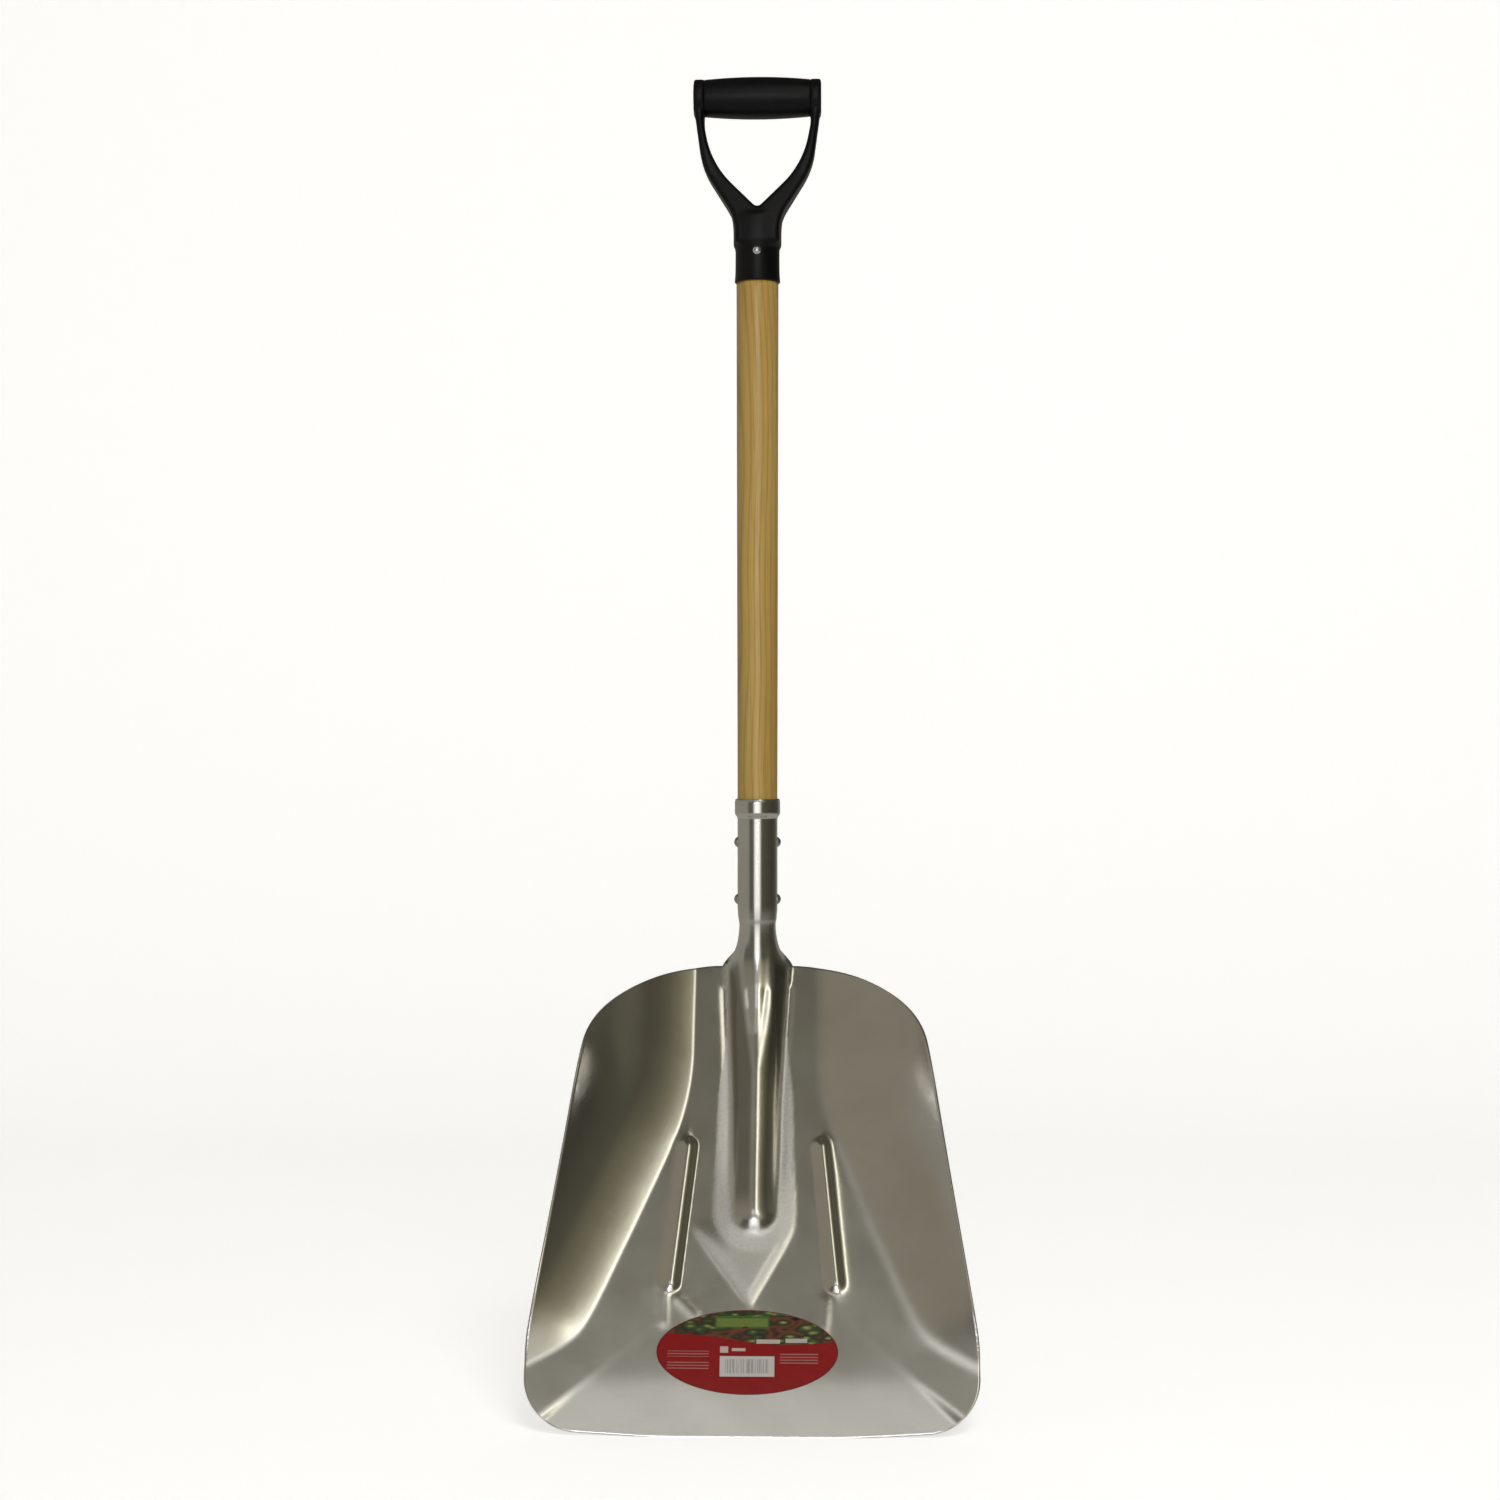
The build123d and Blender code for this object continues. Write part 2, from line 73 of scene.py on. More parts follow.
blade_low, blade_high = box_mm("scoop_blade")
shaft_low, shaft_high = box_mm("handle_shaft")
label_low, label_high = box_mm("product_label")
yoke_low, yoke_high = box_mm("grip_yoke")
bar_low, bar_high = box_mm("grip_bar")

SHAFT_Y = (shaft_low[1] + shaft_high[1]) / 2
BAR_Z = (bar_low[2] + bar_high[2]) / 2
CHEEK_RADIUS = yoke_high[2] - BAR_Z
LIFT = math.radians(30)
UP_FLOOR = np.array([0, math.sin(LIFT), math.cos(LIFT)])
OUT_FLOOR = np.array([0, -math.cos(LIFT), math.sin(LIFT)])
HALF_SHEET = 1.15
EDGE_OUT, EDGE_UP = 0.32, 0.72  # rounding of the sheet's edges, in half thicknesses

# Scoop ----------------------------------------------------

SCOOP_WIDTH = (blade_high[0] - blade_low[0]) / 2
SCOOP_LENGTH = 427.0
EDGE_SWEEP = (80.0, 0.0)
FRONT_CORNER = (SCOOP_WIDTH, 5.6)
HIP = (SCOOP_WIDTH, 77.5)
SHOULDER = (132.8, SCOOP_LENGTH)
EDGE_SWEEP_RADIUS = 600.0
CORNER_RADIUS = 46.0
HIP_RADIUS = 150.0
SHOULDER_RADIUS = 120.0

FOLD_NECK_U = 56.0
FOLD_BEND_V = 343.4
FOLD_BEND_RADIUS = 260.0
FOLD_TURN = math.radians(22.4)
FOLD_CREASE = math.radians(11)  # turn that the fold line itself takes
FOLD_CREASE_WIDTHS = (5.0, 24.0)  # it is sharp on the left and soft on the right
WING_EASY_BEND = 0.0050        # curvature of the side wall near the fold, up to WING_EASY_WIDTH
WING_EASY_WIDTH = 40.0
WING_FULL_BEND = 0.0105        # and beyond it, over WING_FULL_WIDTH
WING_FULL_WIDTH = 68.0
WING_FOOT = ((149.0, 77.0), (186.0, 58.0))  # the line where the side wall ends towards the front
WALL_STEP = 0.25
WALL_T = np.arange(-20, 125, WALL_STEP)     # distances from the fold at which the wall is summed up

FROG_TIP_V = 193.0             # where the ridge's rounded end has its centre
FROG_V = (193, 297, 355, 380, 400, 411.6, 422.1, 427)
FROG_HEIGHT = (8.0, 10.0, 11.6, 13.9, 17.5, 21.0, 24.9, 27.2)
FROG_FOOT = (19.5, 21.5, 24.0, 25.5, 26.5, 27.0, 27.5, 28.0)
FROG_WALL = (0.8, 0.95, 1.2, 1.25, 1.3, 1.4, 1.6, 1.7)  # slope of the ridge's walls
CROWN_RADIUS = 30.0
TUBE_HALF_WIDTH = ((322, 400, 427), (0.0, 10.5, 12.5))  # of the socket's tube where it lies on the ridge
TUBE_CROWN_RADIUS = 12.0

RIB_TOP = (57.5, 254.0)
RIB_BOTTOM = (69.5, 130.0)
RIB_HALF_WIDTH = 7.7
RIB_HEIGHT = 3.7
RIB_CROWN_RADIUS = 17.0
RIB_WALL = 0.75                # slope of the rib's sides

GUTTER_DEPTH = 0.70            # of the drawn-in groove along the ridge's foot
POUCH_HEIGHT = 1.4             # of the drawn-up, three-cornered patch below the ridge's end
POUCH_LEFT = (-41.0, 160.0)
POUCH_TIP = (-2.5, 107.0)
POUCH_RIGHT = (27.0, 161.0)
DRAWN_V = (150, 200, 300, 360, 427)
DRAWN_WIDTH = (18.0, 18.0, 13.0, 3.0, 0.5)  # of the stretched skin beside the ridge, which is rougher and also painted lighter as a painted highlight
LIP_V = 47.0                   # the front lip is bent back ahead of this line
LIP_CORNER = ((135.0, 47.0), (182.0, 5.0))  # the crease from the lip's end to the scoop's corner
LIP_SLOPE = math.tan(math.radians(3.0))
DISH = 0.00010                 # how fast the floor curves up to each side

INNER_COLUMNS = 64             # columns from the middle out to INNER_WIDTH
INNER_WIDTH = 80.0
OUTER_COLUMNS = 40
ROWS = 200
UV_UNIT = 100.0                # millimetres of sheet for each unit of its texture coordinates


def smooth_step(x, low, high):
    t = np.clip((x - low) / (high - low), 0, 1)
    return t * t * (3 - 2 * t)


def soft_min(a, b, k):
    """The lower of two heights, with the corner between them rounded."""
    return (a + b - np.sqrt((a - b) ** 2 + k * k)) / 2


def soft_max(a, b, k):
    return -soft_min(-a, -b, k)


def rounded(points, radii, steps=24):
    """Polyline through the points with the corners that have a radius rounded."""
    points = [np.array(p, float) for p in points]
    out = []
    for i, (p, radius) in enumerate(zip(points, radii)):
        if not radius:
            out.append(p)
            continue
        a = points[i - 1] - p
        b = points[(i + 1) % len(points)] - p
        a, b = a / np.linalg.norm(a), b / np.linalg.norm(b)
        half = math.acos(np.clip(a @ b, -1, 1)) / 2
        reach = radius / math.tan(half)
        centre = p + (a + b) / np.linalg.norm(a + b) * radius / math.sin(half)
        start, end = p + a * reach - centre, p + b * reach - centre
        sweep = math.pi - 2 * half
        for k in range(steps + 1):
            t = k / steps
            ray = start * math.sin((1 - t) * sweep) + end * math.sin(t * sweep)
            out.append(centre + ray / math.sin(sweep))
    return np.array(out)


def run_length(line):
    steps = np.linalg.norm(np.diff(line, axis=0), axis=1)
    return np.concatenate([[0], np.cumsum(steps)])


def resample(line, at):
    """Points of a polyline at the given distances along it."""
    length = run_length(line)
    return np.stack([np.interp(at, length, line[:, k]) for k in range(line.shape[1])], axis=1)


def outside_fold(u, v):
    """How far a point lies outside the fold line of its side."""
    u = np.abs(u)
    rear = u - FOLD_NECK_U
    centre_u = FOLD_NECK_U + FOLD_BEND_RADIUS
    bend = FOLD_BEND_RADIUS - np.hypot(centre_u - u, FOLD_BEND_V - v)
    end_u = centre_u - FOLD_BEND_RADIUS * math.cos(FOLD_TURN)
    end_v = FOLD_BEND_V - FOLD_BEND_RADIUS * math.sin(FOLD_TURN)
    front = (u - end_u) * math.cos(FOLD_TURN) + (v - end_v) * math.sin(FOLD_TURN)
    angle = np.arctan2(FOLD_BEND_V - v, centre_u - u)
    return np.where(v >= FOLD_BEND_V, rear, np.where(angle < FOLD_TURN, bend, front))


def past_line(u, v, start, end):
    """Signed distance from the line through two points, positive to the left of its direction."""
    du, dv = end[0] - start[0], end[1] - start[1]
    return ((v - start[1]) * du - (u - start[0]) * dv) / math.hypot(du, dv)


def beyond(u, v, line):
    """Signed distance outside a line that both halves of the scoop have, mirrored."""
    return past_line(np.abs(u), v, *line)


def wall_profile(crease_width):
    """Height of a side wall by distance from the fold, summed up from how far the sheet has turned."""
    turn = FOLD_CREASE * smooth_step(WALL_T, -crease_width / 2, crease_width / 2)
    turn = turn + WING_EASY_BEND * np.clip(WALL_T, 0, WING_EASY_WIDTH)
    turn = turn + WING_FULL_BEND * np.clip(WALL_T - WING_EASY_WIDTH, 0, WING_FULL_WIDTH)
    return np.cumsum(np.tan(turn)) * WALL_STEP


LEFT_WALL, RIGHT_WALL = (wall_profile(width) for width in FOLD_CREASE_WIDTHS)


def wing_height(u, v):
    """Height of the rolled-up side walls above the floor."""
    t = soft_min(outside_fold(u, v), 1.2 * beyond(u, v, WING_FOOT), 12.0)
    return np.where(u < 0, np.interp(t, WALL_T, LEFT_WALL), np.interp(t, WALL_T, RIGHT_WALL))


def in_pouch(u, v, margin):
    """The drawn-up patch below the ridge: 1 on it and 0 off it, and the distance inside its two sides."""
    left = past_line(u, v, POUCH_LEFT, POUCH_TIP)
    right = past_line(u, v, POUCH_TIP, POUCH_RIGHT)
    inside = soft_min(left, right, 3.0)
    return smooth_step(inside, -2, margin - 2) * smooth_step(-v, -188, -158), inside


def from_ridge(u, v):
    """Distance from the ridge's middle line, round its end too, and how far outside its foot that is."""
    across = np.hypot(u, np.clip(FROG_TIP_V - v, 0, None))
    return across, across - np.interp(v, FROG_V, FROG_FOOT)


def stretch_and_painted_light(u, v):
    """Stretch and painted light of the skin: up to 1 where pressing stretched it rough, where the colour is
    also painted lighter as a painted highlight, and down to -1 on the ridge's walls, which is painted
    shade.
    """
    across, away = from_ridge(u, v)
    off_ridge = smooth_step(away, -5, 0)
    width = np.interp(v, DRAWN_V, DRAWN_WIDTH)
    beside = off_ridge * smooth_step(-away, -width, -0.6 * width)
    pouch, inside = in_pouch(u, v, 8)
    rim = np.exp(-(((inside - 3) / 6) ** 2))
    # Stretched skin beside the ridge and on the patch below it: rougher, and painted lighter as a painted
    # highlight.
    stretch_and_highlight = np.clip(beside + pouch * (0.42 + 0.58 * rim) * off_ridge, 0, 1)
    lying = np.interp(v, *TUBE_HALF_WIDTH)
    # Painted shade on the ridge's walls, stronger on the left and on the upper part of the right.
    shaded_wall = smooth_step(across, lying + 1.5, lying + 5.5) * smooth_step(-away, 0.8, 4.5)
    shaded_wall *= smooth_step(v, 185, 215) * smooth_step(-v, -428, -418)
    return stretch_and_highlight - shaded_wall * np.where(u < 0, 0.85, 0.35 + 0.6 * smooth_step(v, 300, 350))


def frog_height(u, v):
    """Height of the hollow ridge: a round-topped swage, with the start of the socket's tube lying on it."""
    across, away = from_ridge(u, v)
    height = np.interp(v, FROG_V, FROG_HEIGHT)
    lying = np.interp(v, *TUBE_HALF_WIDTH)
    crown = height - (lying**2 + np.clip(across - lying, 0, None) ** 2) / CROWN_RADIUS / 2
    swage = soft_min(crown, -away * np.interp(v, FROG_V, FROG_WALL), 2.0)
    tube = height - across**2 / TUBE_CROWN_RADIUS / 2
    gutter = GUTTER_DEPTH * np.exp(-(((away - 2.5) / 4.0) ** 2))
    gutter *= smooth_step(v, 200, 240) * smooth_step(-v, -428, -395)
    apron = smooth_step(-away, -20, 0) * smooth_step(-v, -260, -190)
    patch = POUCH_HEIGHT * np.clip(apron + in_pouch(u, v, 12)[0], 0, 1)
    return soft_max(soft_max(swage, tube, 0.7), 0 * u, 1.6) - gutter + patch


def segment_distance(u, v, a, b):
    """Distance from points to the segment between a and b."""
    du, dv = b[0] - a[0], b[1] - a[1]
    t = np.clip(((u - a[0]) * du + (v - a[1]) * dv) / (du * du + dv * dv), 0, 1)
    return np.hypot(u - a[0] - t * du, v - a[1] - t * dv)


def rib_height(u, v):
    """Height of the two stiffening ribs, with a sharp foot on the inside and a soft one on the outside."""
    d = segment_distance(np.abs(u), v, RIB_TOP, RIB_BOTTOM)
    top = soft_min(RIB_HEIGHT - d * d / RIB_CROWN_RADIUS / 2, (RIB_HALF_WIDTH - d) * RIB_WALL, 1.2)
    outside = smooth_step(beyond(u, v, (RIB_TOP, RIB_BOTTOM)), -4, 4)
    return soft_max(top, 0 * u, 0.5 + 2.0 * outside)


# Faint creases at the ends of the ridge and the ribs: start, end, height and half width.
CREASES = (
    ((-2.5, 108.0), (0.0, 92.0), 0.35, 6.0),
    ((-74.0, 117.0), (-74.0, 97.0), 0.45, 5.0),
    ((-63.0, 117.0), (-49.0, 104.0), 0.40, 5.0),
    ((61.5, 115.0), (59.5, 92.0), 0.45, 5.5),
    ((-62.0, 118.0), (-30.0, 66.0), 0.16, 12.0),
    ((66.0, 118.0), (38.0, 60.0), 0.14, 12.0),
)


def dents(u, v):
    """Shallow unevenness of the pressed sheet."""
    h = 0.10 * np.sin(u / 31 + 0.6) * np.sin(v / 43 + 1.1)
    h += 0.05 * np.sin(u / 13 + 2.0 + np.sin(v / 29)) * np.sin(v / 17 + 0.4)
    for start, end, height, width in CREASES:
        h += height * np.exp(-((segment_distance(u, v, start, end) / width) ** 2))
    foot = np.abs(np.abs(u) - 31)
    ripple = np.sin(v / 3.1 + 1.7 * np.sin(v / 11.3)) * np.sin(v / 7.7 + u) * np.exp(-((foot / 4.5) ** 2))
    return h + 0.10 * ripple * smooth_step(v, 175, 215) * smooth_step(-v, -345, -300)


def floor_height(u, v):
    """Height of the middle of the sheet above the plane of the floor."""
    lip = LIP_SLOPE * soft_max(LIP_V - v, 0 * v, 10.0) * smooth_step(-beyond(u, v, LIP_CORNER), -4, 4)
    base = wing_height(u, v) + DISH * u * u - lip
    return base + frog_height(u, v) + rib_height(u, v) + dents(u, v)


def to_space(u, v, n):
    """Floor coordinates to the row frame."""
    flat = [np.asarray(a, float)[..., None] for a in np.broadcast_arrays(u, v, n)]
    return flat[0] * np.array([1.0, 0, 0]) + flat[1] * UP_FLOOR + flat[2] * OUT_FLOOR


def floor_grid():
    """(rows, columns, 2) grid of u and v that fills the scoop's outline, its right half mirrored."""
    front = rounded([(0, 0), EDGE_SWEEP, FRONT_CORNER, HIP], [0, EDGE_SWEEP_RADIUS, CORNER_RADIUS, 0])
    back = rounded([(0, SCOOP_LENGTH), SHOULDER, HIP], [0, SHOULDER_RADIUS, 0])
    hip = rounded([FRONT_CORNER, HIP, SHOULDER], [0, HIP_RADIUS, 0])[1:-1]
    front, back = front[:-1], back[:-1]
    half_arc = 12                   # each corner's arc is shared by an end row and the side
    bottom, right_start = front[:-half_arc], front[-half_arc - 1 :]
    top, right_end = back[:-half_arc], back[-half_arc - 1 :]
    side = np.concatenate([right_start, hip, right_end[::-1]])

    inner = np.linspace(0, INNER_WIDTH, INNER_COLUMNS + 1)
    outer = np.arange(1, OUTER_COLUMNS + 1) / OUTER_COLUMNS

    def columns(line):
        total = run_length(line)[-1]
        return resample(line, np.concatenate([inner, INNER_WIDTH + (total - INNER_WIDTH) * outer]))

    low, high = columns(bottom), columns(top)
    across = (run_length(low) / run_length(low)[-1] + run_length(high) / run_length(high)[-1]) / 2
    right = resample(side, np.linspace(0, run_length(side)[-1], ROWS + 1))
    rise = (right[:, 1] - right[0, 1]) / (right[-1, 1] - right[0, 1])
    middle = np.stack([0 * rise, rise * SCOOP_LENGTH], axis=1)

    s, t = across[None, :, None], rise[:, None, None]
    grid = (1 - t) * low[None] + t * high[None] + (1 - s) * middle[:, None] + s * right[:, None]
    grid -= (1 - t) * ((1 - s) * low[0] + s * low[-1]) + t * ((1 - s) * high[0] + s * high[-1])
    mirrored = grid[:, :0:-1] * np.array([-1, 1])
    return np.concatenate([mirrored, grid], axis=1)


# Neck and socket: the strip that carries on from the ridge, rolled up into a tube.
STRIP_COLUMNS = 25             # columns each side of the middle that run on into the socket
TUBE_RADIUS = 16.85            # middle of the sheet
NECK_RADIUS = 15.35
NECK_Z = 399.0
CLOSED_Z = 426.0
MOUTH_Z = blade_high[2]
BELL_Z = MOUTH_Z - 17.0
BELL_SWELL = 2.4
MOUTH_TUCK = 0.5               # the bell's rim turns in again
RING_BELOW_BELL = 37.0         # a faint rolled ring
RING_DEPTH = 0.16
SEAM_ANGLE = math.radians(177.6)


def tube_radius(z):
    """Radius of the middle of the sheet up the socket."""
    neck = NECK_RADIUS + (TUBE_RADIUS - NECK_RADIUS) * smooth_step(z, NECK_Z, CLOSED_Z)
    bell = BELL_SWELL * smooth_step(z, BELL_Z, BELL_Z + 5)
    tuck = MOUTH_TUCK * smooth_step(z, MOUTH_Z - 2.5, MOUTH_Z)
    ring = RING_DEPTH * np.exp(-(((z - BELL_Z + RING_BELOW_BELL) / 1.2) ** 2))
    return neck + bell - tuck - ring


def strip_rows(start):
    """Heights of the crest at each row of the neck and socket, above the one where it starts."""
    ends = (start, CLOSED_Z, BELL_Z - 2, MOUTH_Z)
    return np.concatenate([np.linspace(a, b, n)[1:] for a, b, n in zip(ends[:-1], ends[1:], (30, 28, 20))])


def strip_grid(top_u):
    """(rows, columns, 3) points of the neck and socket, which grow from the floor's last row at top_u."""
    top_n = floor_height(top_u, np.full_like(top_u, SCOOP_LENGTH))
    first = np.stack([top_u, -top_n], axis=1)
    pieces = np.diff(first, axis=0)
    lengths = np.linalg.norm(pieces, axis=1)
    angles = np.arctan2(pieces[:, 1], pieces[:, 0])
    middle = len(top_u) // 2
    share = (run_length(first) - run_length(first)[middle]) / run_length(first)[middle]
    mid_share = (share[1:] + share[:-1]) / 2
    _, start_y, start = SCOOP_LENGTH * UP_FLOOR + top_n[middle] * OUT_FLOOR
    first_half = lengths.sum() / 2

    def upright(z):
        return smooth_step(z, start - 6, start + 21)

    rows = []
    for z in strip_rows(start):
        x = (z - start) / (CLOSED_Z - start)
        wrap = (1 - (1 - min(x, 1)) ** 2.3) * smooth_step(x, -0.25, 0.28)
        grow = smooth_step(z, NECK_Z - 8, CLOSED_Z)
        radius = tube_radius(z)
        half = (1 - grow) * first_half + grow * radius * SEAM_ANGLE
        turn = (1 - wrap) * angles + wrap * mid_share * SEAM_ANGLE
        steps = lengths / lengths.sum() * 2 * half
        p = np.concatenate([[0], np.cumsum(np.cos(turn) * steps)])
        q = np.concatenate([[0], np.cumsum(np.sin(turn) * steps)])
        p, q = p - p[middle], q - q[middle]
        tilt = LIFT * (1 - upright(z)) / (1 - upright(start))
        settle = smooth_step(z, start, NECK_Z)
        crest_y = (1 - settle) * start_y + settle * (SHAFT_Y - radius)
        rows.append(np.stack([p, crest_y + q * math.cos(tilt), z - q * math.sin(tilt)], axis=1))
    return np.array(rows)


def vertex_normals(points, quads):
    """Unit normals of a quad mesh's vertices."""
    a, b, c, d = (points[quads[:, k]] for k in range(4))
    face = np.cross(c - a, d - b)
    normals = np.zeros_like(points)
    for k in range(4):
        np.add.at(normals, quads[:, k], face)
    return normals / np.linalg.norm(normals, axis=1, keepdims=True)


def quad_edges(quads):
    """Directed edges of every quad."""
    return np.concatenate([quads[:, [k, (k + 1) % 4]] for k in range(4)])


def relax(points, quads, chosen, times):
    """Evens out the chosen vertices by moving each towards the mean of its neighbours."""
    edges = quad_edges(quads)
    edges = np.concatenate([edges, edges[:, ::-1]])
    count = np.bincount(edges[:, 0], minlength=len(points))[:, None]
    for _ in range(times):
        total = np.zeros_like(points)
        np.add.at(total, edges[:, 0], points[edges[:, 1]])
        points = np.where(chosen[:, None], points + 0.5 * (total / count - points), points)
    return points


def boundary_edges(quads):
    """Directed edges that only one quad uses."""
    edges = quad_edges(quads)
    count = quads.max() + 1
    return edges[~np.isin(edges @ (count, 1), edges @ (1, count))]


def mesh_object(name, points, faces, uv=None, painted_light_and_stretch=None):
    """A smooth-shaded object from points in millimetres. uv holds a value for each point, and so does the
    stretch value, which also carries painted highlight and painted shade.
    """
    mesh = bpy.data.meshes.new(name)
    mesh.from_pydata((np.asarray(points) * MM).tolist(), [], [list(map(int, f)) for f in faces])
    mesh.polygons.foreach_set("use_smooth", np.ones(len(mesh.polygons), bool))
    if uv is not None:
        layer = mesh.uv_layers.new(name="sheet")
        corner = np.zeros(len(mesh.loops), np.int32)
        mesh.loops.foreach_get("vertex_index", corner)
        layer.data.foreach_set("uv", np.asarray(uv, np.float32)[corner].ravel())
    if painted_light_and_stretch is not None:
        layer = mesh.attributes.new("stretch_and_painted_light", "FLOAT", "POINT")
        layer.data.foreach_set("value", np.asarray(painted_light_and_stretch, np.float32))
    mesh.update()
    obj = bpy.data.objects.new(name, mesh)
    bpy.context.scene.collection.objects.link(obj)
    return obj


def thickened(name, points, quads, uv, painted_light_and_stretch):
    """Closed object from the middle surface of the sheet, with its edges rounded."""
    normals = vertex_normals(points, quads)
    count = len(points)
    edge = boundary_edges(quads)
    follows = dict(edge.tolist())
    loop = [int(edge[0, 0])]
    while follows[loop[-1]] != loop[0]:
        loop.append(follows[loop[-1]])
    rim = points[loop]
    along = np.roll(rim, -1, axis=0) - np.roll(rim, 1, axis=0)
    outward = np.cross(along, normals[loop])
    outward /= np.linalg.norm(outward, axis=1, keepdims=True)
    rings = []
    for up in (EDGE_UP, -EDGE_UP):
        rings.append(rim + outward * EDGE_OUT * HALF_SHEET + normals[loop] * up * HALF_SHEET)
    faces_apart = [points + normals * HALF_SHEET, points - normals * HALF_SHEET]
    all_points = np.concatenate(faces_apart + rings)
    all_uv, all_painted_light_and_stretch = (np.concatenate([a, a, a[loop], a[loop]]) for a in (uv, painted_light_and_stretch))
    chain = [np.array(loop), 2 * count + np.arange(len(loop))]
    chain += [chain[1] + len(loop), np.array(loop) + count]
    faces = [quads, quads[:, ::-1] + count]
    for upper, lower in zip(chain[:-1], chain[1:]):
        faces.append(np.stack([np.roll(upper, -1), upper, lower, np.roll(lower, -1)], axis=1))
    return mesh_object(name, all_points, np.concatenate(faces), all_uv, all_painted_light_and_stretch)


def grid_quads(index):
    """Quads of a grid of vertex numbers."""
    a, b, c, d = index[:-1, :-1], index[:-1, 1:], index[1:, 1:], index[1:, :-1]
    return np.stack([a.ravel(), b.ravel(), c.ravel(), d.ravel()], axis=1)


def scoop_sheet():
    """The whole pressed sheet: floor, side walls, ridge, ribs, neck and rolled socket."""
    uv = floor_grid()
    rows, columns = uv.shape[:2]
    u, v = uv[..., 0], uv[..., 1]
    floor = to_space(u, v, floor_height(u, v)).reshape(-1, 3)
    floor_index = np.arange(rows * columns).reshape(rows, columns)
    middle = columns // 2
    chosen = slice(middle - STRIP_COLUMNS, middle + STRIP_COLUMNS + 1)
    strip = strip_grid(u[-1, chosen])
    strip_index = len(floor) + np.arange(strip[..., 0].size).reshape(strip.shape[:2])
    strip_index = np.concatenate([floor_index[-1:, chosen], strip_index])
    strip = strip.reshape(-1, 3)
    quads = np.concatenate([grid_quads(floor_index), grid_quads(strip_index)])
    points = np.concatenate([floor, strip])
    print_at = np.concatenate([uv.reshape(-1, 2), strip[:, [0, 2]] + np.array([0, 60.0])]) / UV_UNIT
    # Stretch of the skin, with painted highlight and painted shade, for the floor; the neck and socket get
    # none.
    painted_light_and_stretch = np.concatenate([stretch_and_painted_light(u, v).ravel(), np.zeros(len(strip))])
    edge = np.zeros(len(points), bool)
    edge[boundary_edges(quads)[:, 0]] = True
    x, z = np.abs(points[:, 0]), points[:, 2]
    join_zone = (z > 352) & (z < 412) & (x < 40) & ~edge
    points = relax(points, quads, join_zone, 14)
    return thickened("scoop_sheet", points, quads, print_at, painted_light_and_stretch)


LABEL_GAP = 0.03
LABEL_THICKNESS = 0.27
LABEL_EDGE_DROP = 0.1


def label_piece():
    """The oval label, following the floor under it."""
    centre = (label_low + label_high) / 2
    centre_u, centre_v = centre[0], centre @ UP_FLOOR
    half_u = (label_high[0] - label_low[0]) / 2
    half_v = (label_high[2] - label_low[2]) / 2 / UP_FLOOR[2]
    rings, spokes = 26, 120
    radius = np.sin(np.linspace(0, 1, rings + 1)[1:] * math.pi / 2)[:, None]
    angle = np.linspace(0, 2 * math.pi, spokes, endpoint=False)[None]
    a, b = (radius * np.cos(angle)).ravel(), (radius * np.sin(angle)).ravel()
    a, b = np.append(a, 0), np.append(b, 0)
    u, v = centre_u + a * half_u, centre_v + b * half_v
    under = floor_height(u, v) + HALF_SHEET + LABEL_GAP
    count = len(a)
    top = under + LABEL_THICKNESS - np.where(np.hypot(a, b) > 0.999, LABEL_EDGE_DROP, 0.0)
    points = np.concatenate([to_space(u, v, top), to_space(u, v, under)])
    index = np.arange(rings * spokes).reshape(rings, spokes)
    index = np.concatenate([index, index[:, :1]], axis=1)
    quads = grid_quads(index)
    faces = [list(f) for f in quads[:, ::-1]] + [list(f + count) for f in quads]
    hub = count - 1
    for k in range(spokes):
        here, there = index[0, k], index[0, k + 1]
        faces.append([hub, here, there])
        faces.append([hub + count, there + count, here + count])
        here, there = index[-1, k], index[-1, k + 1]
        faces.append([here, here + count, there + count, there])
    uv = np.concatenate([np.stack([a, b], axis=1)] * 2)
    return mesh_object("label_print", points, faces, uv)


# Round pieces ---------------------------------------------


def lathe(profile, spokes, origin, axis, wobble=0.0):
    """Solid of revolution from (radius, along) points: a ring, unless the profile ends on the axis."""
    profile = np.array(profile, float)
    angle = np.linspace(0, 2 * math.pi, spokes, endpoint=False)
    axis = np.array(axis, float)
    side = np.array([0.0, 1, 0]) if abs(axis[0]) > 0.5 else np.array([1.0, 0, 0])
    other = np.cross(axis, side)
    ray = np.cos(angle)[:, None] * side + np.sin(angle)[:, None] * other
    points, faces, rings = [], [], []
    for r, h in profile:
        if r < 1e-6:
            rings.append([len(points)])
            points.append(origin + axis * h)
        else:
            rings.append(list(range(len(points), len(points) + spokes)))
            swell = 1 + wobble * np.sin(3 * angle + h * 0.11) * np.sin(h * 0.023)
            points.extend(origin + axis * h + ray * r * swell[:, None])
    if len(rings[0]) > 1:
        rings.append(rings[0])
    for low, high in zip(rings[:-1], rings[1:]):
        for k in range(spokes):
            m = (k + 1) % spokes
            if len(low) == 1:
                faces.append([low[0], high[m], high[k]])
            elif len(high) == 1:
                faces.append([low[k], low[m], high[0]])
            else:
                faces.append([low[k], low[m], high[m], high[k]])
    return np.array(points), faces


def filled(profile, step):
    """The profile with extra points so that no stretch is longer than the step."""
    out = [profile[0]]
    for (r0, h0), (r1, h1) in zip(profile[:-1], profile[1:]):
        n = max(1, math.ceil(math.hypot(r1 - r0, h1 - h0) / step))
        out += [(r0 + (r1 - r0) * k / n, h0 + (h1 - h0) * k / n) for k in range(1, n + 1)]
    return out


HAMMERING = 0.06               # unevenness of the rivets' heads
SHAFT_WOBBLE = 0.0012          # unroundness of the shaft, as a share of its radius


